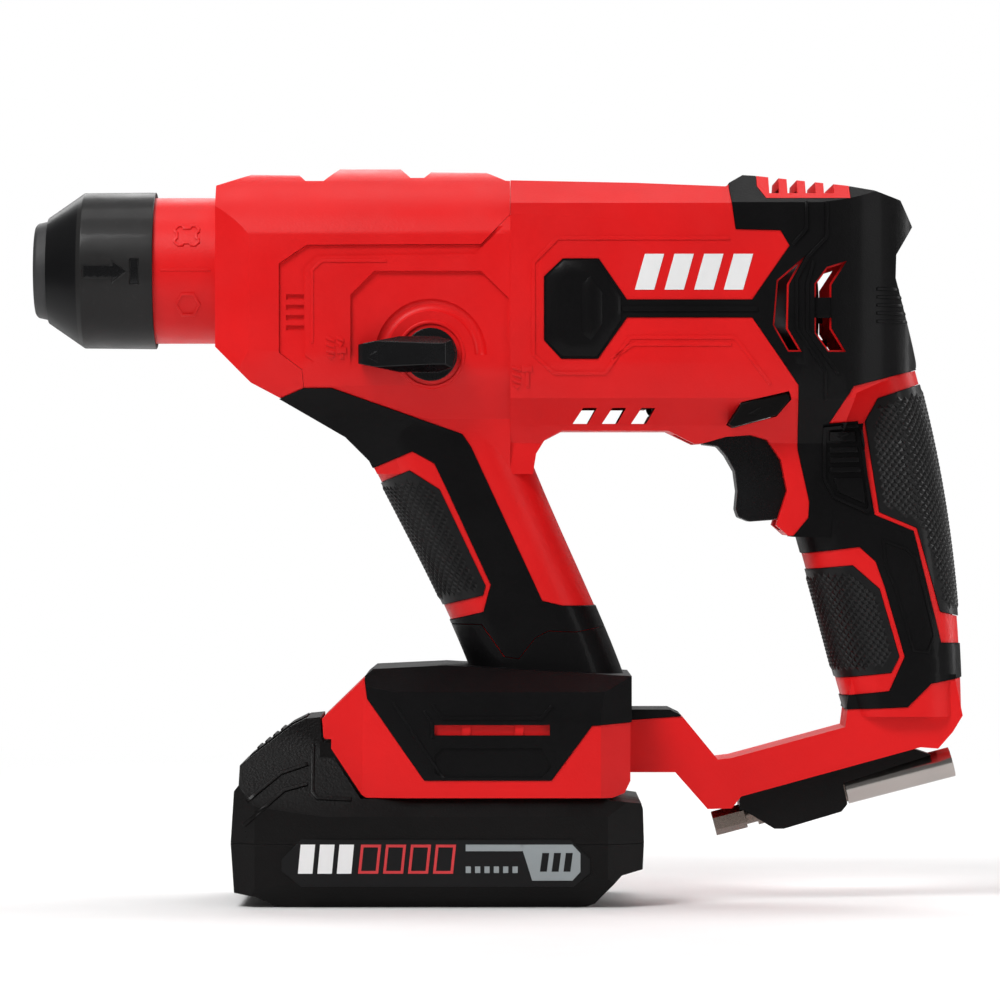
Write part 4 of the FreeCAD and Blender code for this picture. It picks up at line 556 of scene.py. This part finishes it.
def knurl(name, node, outline, stations, face, wide=2.0, high=2.3, margin=1.3, rise=0.45):
    """Rows of small flat-topped pyramids laid on a grip pad."""
    tree = surface(node)
    mesh = bmesh.new()
    corners, tops = {}, {}

    def seat(col, row, lift):
        """Where a lattice point lands on the pad, or None when it is off the pad."""
        z = top - row * high / 2
        point, out = wrapped(stations, face, col * wide / 2, z)
        if edge_distance(outline, point.x / MM, z) < margin:
            return None
        spot = tree.ray_cast(point + out * 16 * MM, -out, 22 * MM)[0]
        return None if spot is None else spot + out * lift * MM

    def corner(col, row):
        if (col, row) not in corners:
            upper = seat(col, row, 0.03)
            lower = seat(col, row, -0.3)
            corners[(col, row)] = None if upper is None or lower is None else (
                mesh.verts.new(upper), mesh.verts.new(lower))
        return corners[(col, row)]

    top = max(z for _, z in outline)
    rows = int((top - min(z for _, z in outline)) / high * 2) + 2
    reach = int(60 / wide)
    edges = {}
    for row in range(rows):
        for col in range(-reach, reach + 1):
            if (row + col) % 2:
                continue
            ring = [corner(col - 1, row), corner(col, row + 1), corner(col + 1, row), corner(col, row - 1)]
            centre = seat(col, row, rise)
            if centre is None or any(c is None for c in ring):
                continue
            peak = []
            for c in ring:
                peak.append(mesh.verts.new(centre.lerp(c[0].co, 0.22)))
            for i in range(4):
                j = (i + 1) % 4
                mesh.faces.new((ring[i][0], ring[j][0], peak[j], peak[i]))
                key = frozenset((ring[i][0], ring[j][0]))
                edges.setdefault(key, []).append((ring[i], ring[j]))
            mesh.faces.new(peak)
            mesh.faces.new([c[1] for c in reversed(ring)])
    for pairs in edges.values():
        if len(pairs) == 1:
            (a, b), = pairs
            mesh.faces.new((a[1], b[1], b[0], a[0]))
    loose = [v for v in mesh.verts if not v.link_faces]
    bmesh.ops.delete(mesh, geom=loose, context="VERTS")
    return finished(mesh, name, "housing", "pad_black", 0)


def back_ribs():
    """Raised bands that wrap the back of the motor end, above the handle."""
    tree = surface("left_rear_overmould", "right_rear_overmould")
    mesh = bmesh.new()
    for i in range(5):
        z = -6.2 - 2.35 * i
        rings = []
        for k in range(41):
            angle = math.radians(-100 + 5 * k)
            out = Vector((math.cos(angle), math.sin(angle), 0))
            ring = []
            for dz, lift in ((0.62, -0.3), (0.36, 0.36), (-0.36, 0.36), (-0.62, -0.3)):
                start = Vector((240 * MM, 0, (z + dz) * MM)) + out * 60 * MM
                spot = tree.ray_cast(start, -out)[0]
                ring.append(None if spot is None else spot + out * lift * MM)
            rings.append(None if any(p is None or p.x < 244.8 * MM for p in ring) else [mesh.verts.new(p) for p in ring])
        used = [r for r in rings if r]
        for a, b in zip(used, used[1:]):
            for n in range(4):
                mesh.faces.new((a[n], a[(n + 1) % 4], b[(n + 1) % 4], b[n]))
        mesh.faces.new(used[0])
        mesh.faces.new(used[-1])
    return finished(mesh, "back_ribs", "housing", "soft_black", 0.12)


def selector_shade_sheet():
    """Thin dark sheet inside the shells that closes the slit round the direction selector; its dark finish is painted
    shade standing in for the shadowed gap behind the slit.
    """
    mesh = bmesh.new()
    rings = []
    for y in (-0.5, 0.5):
        for grow in (0.15, 1.5):
            centre = Vector((212.5, -41))
            rings.append([mesh.verts.new((p.x * MM, y * MM, p.y * MM)) for p in
                          [Vector(q) + (Vector(q) - centre).normalized() * grow for q in SELECTOR_EDGE]])
    inner_low, outer_low, inner_high, outer_high = rings
    for i in range(len(SELECTOR_EDGE)):
        j = (i + 1) % len(SELECTOR_EDGE)
        for a, b in ((inner_low, outer_low), (outer_low, outer_high), (outer_high, inner_high), (inner_high, inner_low)):
            mesh.faces.new((a[i], a[j], b[j], b[i]))
    # The dark fan nylon finish on this sheet is painted shade in the slit.
    return finished(mesh, "selector_shade_sheet", "housing", "fan_nylon", 0)


def latch_ribs():
    """Finger ribs across the sloping face of the battery latch."""
    mesh = bmesh.new()
    foot, head = Vector((63.6, 0, -142.4)), Vector((75.8, 0, -133))
    along = (head - foot).normalized()
    out = Vector((-along.z, 0, along.x))
    for i in range(4):
        middle = foot.lerp(head, 0.22 + 0.19 * i)
        ends = []
        for y, inset in ((-11, 0.5), (11, -0.5)):
            ring = []
            for reach, lift, pull in ((-0.8, -0.3, 0), (-0.4, 0.55, inset), (0.4, 0.55, inset), (0.8, -0.3, 0)):
                point = middle + along * reach + out * lift + Vector((0, y + pull, 0))
                ring.append(mesh.verts.new(point * MM))
            ends.append(ring)
        low, high = ends
        for n in range(4):
            mesh.faces.new((low[n], low[(n + 1) % 4], high[(n + 1) % 4], high[n]))
        mesh.faces.new(low)
        mesh.faces.new(high)
    return finished(mesh, "latch_ribs", "latch", "black_plastic", 0.1)


# ---------------------------------------------------------------- stage, camera and light

STUDIO_LIGHT = 0.22


def faded(paper, centre):
    """Paper that turns to an even white away from the tool, lights it no more than the studio does, and is clear
    from below."""
    tree = paper.node_tree
    join = links_of(tree)
    new = tree.nodes.new
    out = next(n for n in tree.nodes if n.type == "OUTPUT_MATERIAL")
    near = out.inputs["Surface"].links[0].from_socket
    place = next(n for n in tree.nodes if n.type == "TEX_COORD")
    away = new("ShaderNodeVectorMath")
    away.operation = "DISTANCE"
    away.inputs[1].default_value = (centre.x, 0, cad_low.z)
    join(place.outputs["Object"], away.inputs[0])
    share = new("ShaderNodeMapRange")
    share.interpolation_type = "SMOOTHSTEP"
    share.inputs["From Min"].default_value = 0.35
    share.inputs["From Max"].default_value = 1.0
    join(away.outputs["Value"], share.inputs["Value"])
    ray = new("ShaderNodeLightPath")
    strength = new("ShaderNodeMapRange")
    strength.inputs["To Min"].default_value = STUDIO_LIGHT
    strength.inputs["To Max"].default_value = 1.0
    join(ray.outputs["Is Camera Ray"], strength.inputs["Value"])
    white = new("ShaderNodeEmission")
    join(strength.outputs["Result"], white.inputs["Strength"])
    mix = new("ShaderNodeMixShader")
    join(share.outputs["Result"], mix.inputs["Fac"])
    join(near, mix.inputs[1])
    join(white.outputs[0], mix.inputs[2])
    side = new("ShaderNodeNewGeometry")
    clear = new("ShaderNodeBsdfTransparent")
    seen = new("ShaderNodeMixShader")
    join(side.outputs["Backfacing"], seen.inputs["Fac"])
    join(mix.outputs[0], seen.inputs[1])
    join(clear.outputs[0], seen.inputs[2])
    join(seen.outputs[0], out.inputs["Surface"])
    return paper


def stage():
    """A plain pale floor that fades to white all round, soft lights and the camera."""
    centre = Vector((0.1369, 0, -0.0676))
    mesh = bmesh.new()
    floor = cad_low.z - 0.0002
    profile = [(0.3 * i, floor) for i in range(9)] + [
        (2.4 + 0.6 * math.sin(a), floor + 0.6 - 0.6 * math.cos(a)) for a in [math.radians(15 * i) for i in range(1, 7)]
    ] + [(3.0, 3.2)]
    middle = mesh.verts.new((centre.x, 0, floor))
    rings = [[mesh.verts.new((centre.x + r * math.cos(a), r * math.sin(a), z))
              for a in [math.radians(6 * i) for i in range(60)]] for r, z in profile[1:]]
    for i in range(60):
        j = (i + 1) % 60
        mesh.faces.new((middle, rings[0][i], rings[0][j]))
        for low, high in zip(rings, rings[1:]):
            mesh.faces.new((low[i], high[i], high[j], low[j]))
    data = bpy.data.meshes.new("backdrop")
    mesh.to_mesh(data)
    mesh.free()
    data.polygons.foreach_set("use_smooth", [True] * len(data.polygons))
    backdrop = bpy.data.objects.new("backdrop", data)
    bpy.context.scene.collection.objects.link(backdrop)
    paper = finish("backdrop_paper", (0.86, 0.86, 0.86), 0.9, cloud=0.01, bump=0.0, grain=300, specular=0.1)
    paint(backdrop, faded(paper, centre))

    def lamp(name, at, power, width, height, colour=(1, 1, 1)):
        light = bpy.data.lights.new(name, "AREA")
        light.shape = "RECTANGLE"
        light.size = width
        light.size_y = height
        light.energy = power
        light.color = colour
        holder = bpy.data.objects.new(name, light)
        bpy.context.scene.collection.objects.link(holder)
        holder.location = centre + Vector(at)
        holder.rotation_euler = (-Vector(at)).to_track_quat("-Z", "Y").to_euler()

    lamp("key", (-0.55, -0.85, 1.0), 14, 0.6, 0.5)
    lamp("fill", (1.1, -0.9, 0.1), 3.2, 0.3, 0.9)
    lamp("top", (-0.05, 0.1, 1.1), 4.5, 1.3, 0.35)
    lamp("rim", (1.0, 0.3, 0.35), 5, 0.25, 0.9)
    lamp("paper", (0.1, 0.95, 0.7), 9, 1.6, 0.5)
    world = bpy.data.worlds.new("studio")
    world.use_nodes = True
    back = world.node_tree.nodes["Background"]
    back.inputs["Color"].default_value = (1, 1, 1, 1)
    back.inputs["Strength"].default_value = STUDIO_LIGHT
    bpy.context.scene.world = world
    bpy.context.scene.view_settings.view_transform = "Standard"

    lens = bpy.data.cameras.new("camera")
    lens.lens = 200
    lens.sensor_width = 36
    lens.clip_start = 0.05
    camera = bpy.data.objects.new("camera", lens)
    bpy.context.scene.collection.objects.link(camera)
    camera.location = centre + Vector((0, -1.64, 0))
    camera.rotation_euler = (math.radians(90), 0, 0)
    bpy.context.scene.camera = camera


dress_cad()
marks()
knurl("grip_knurl", "front_grip_pad", GRIP_PAD, GRIP, "front")
knurl("handle_back_knurl", "handle_back_pad", BACK_PAD, HANDLE, "rear")
knurl("handle_front_knurl", "handle_front_pad", FRONT_PAD, HANDLE, "front")
back_ribs()
selector_shade_sheet()
latch_ribs()
stage()
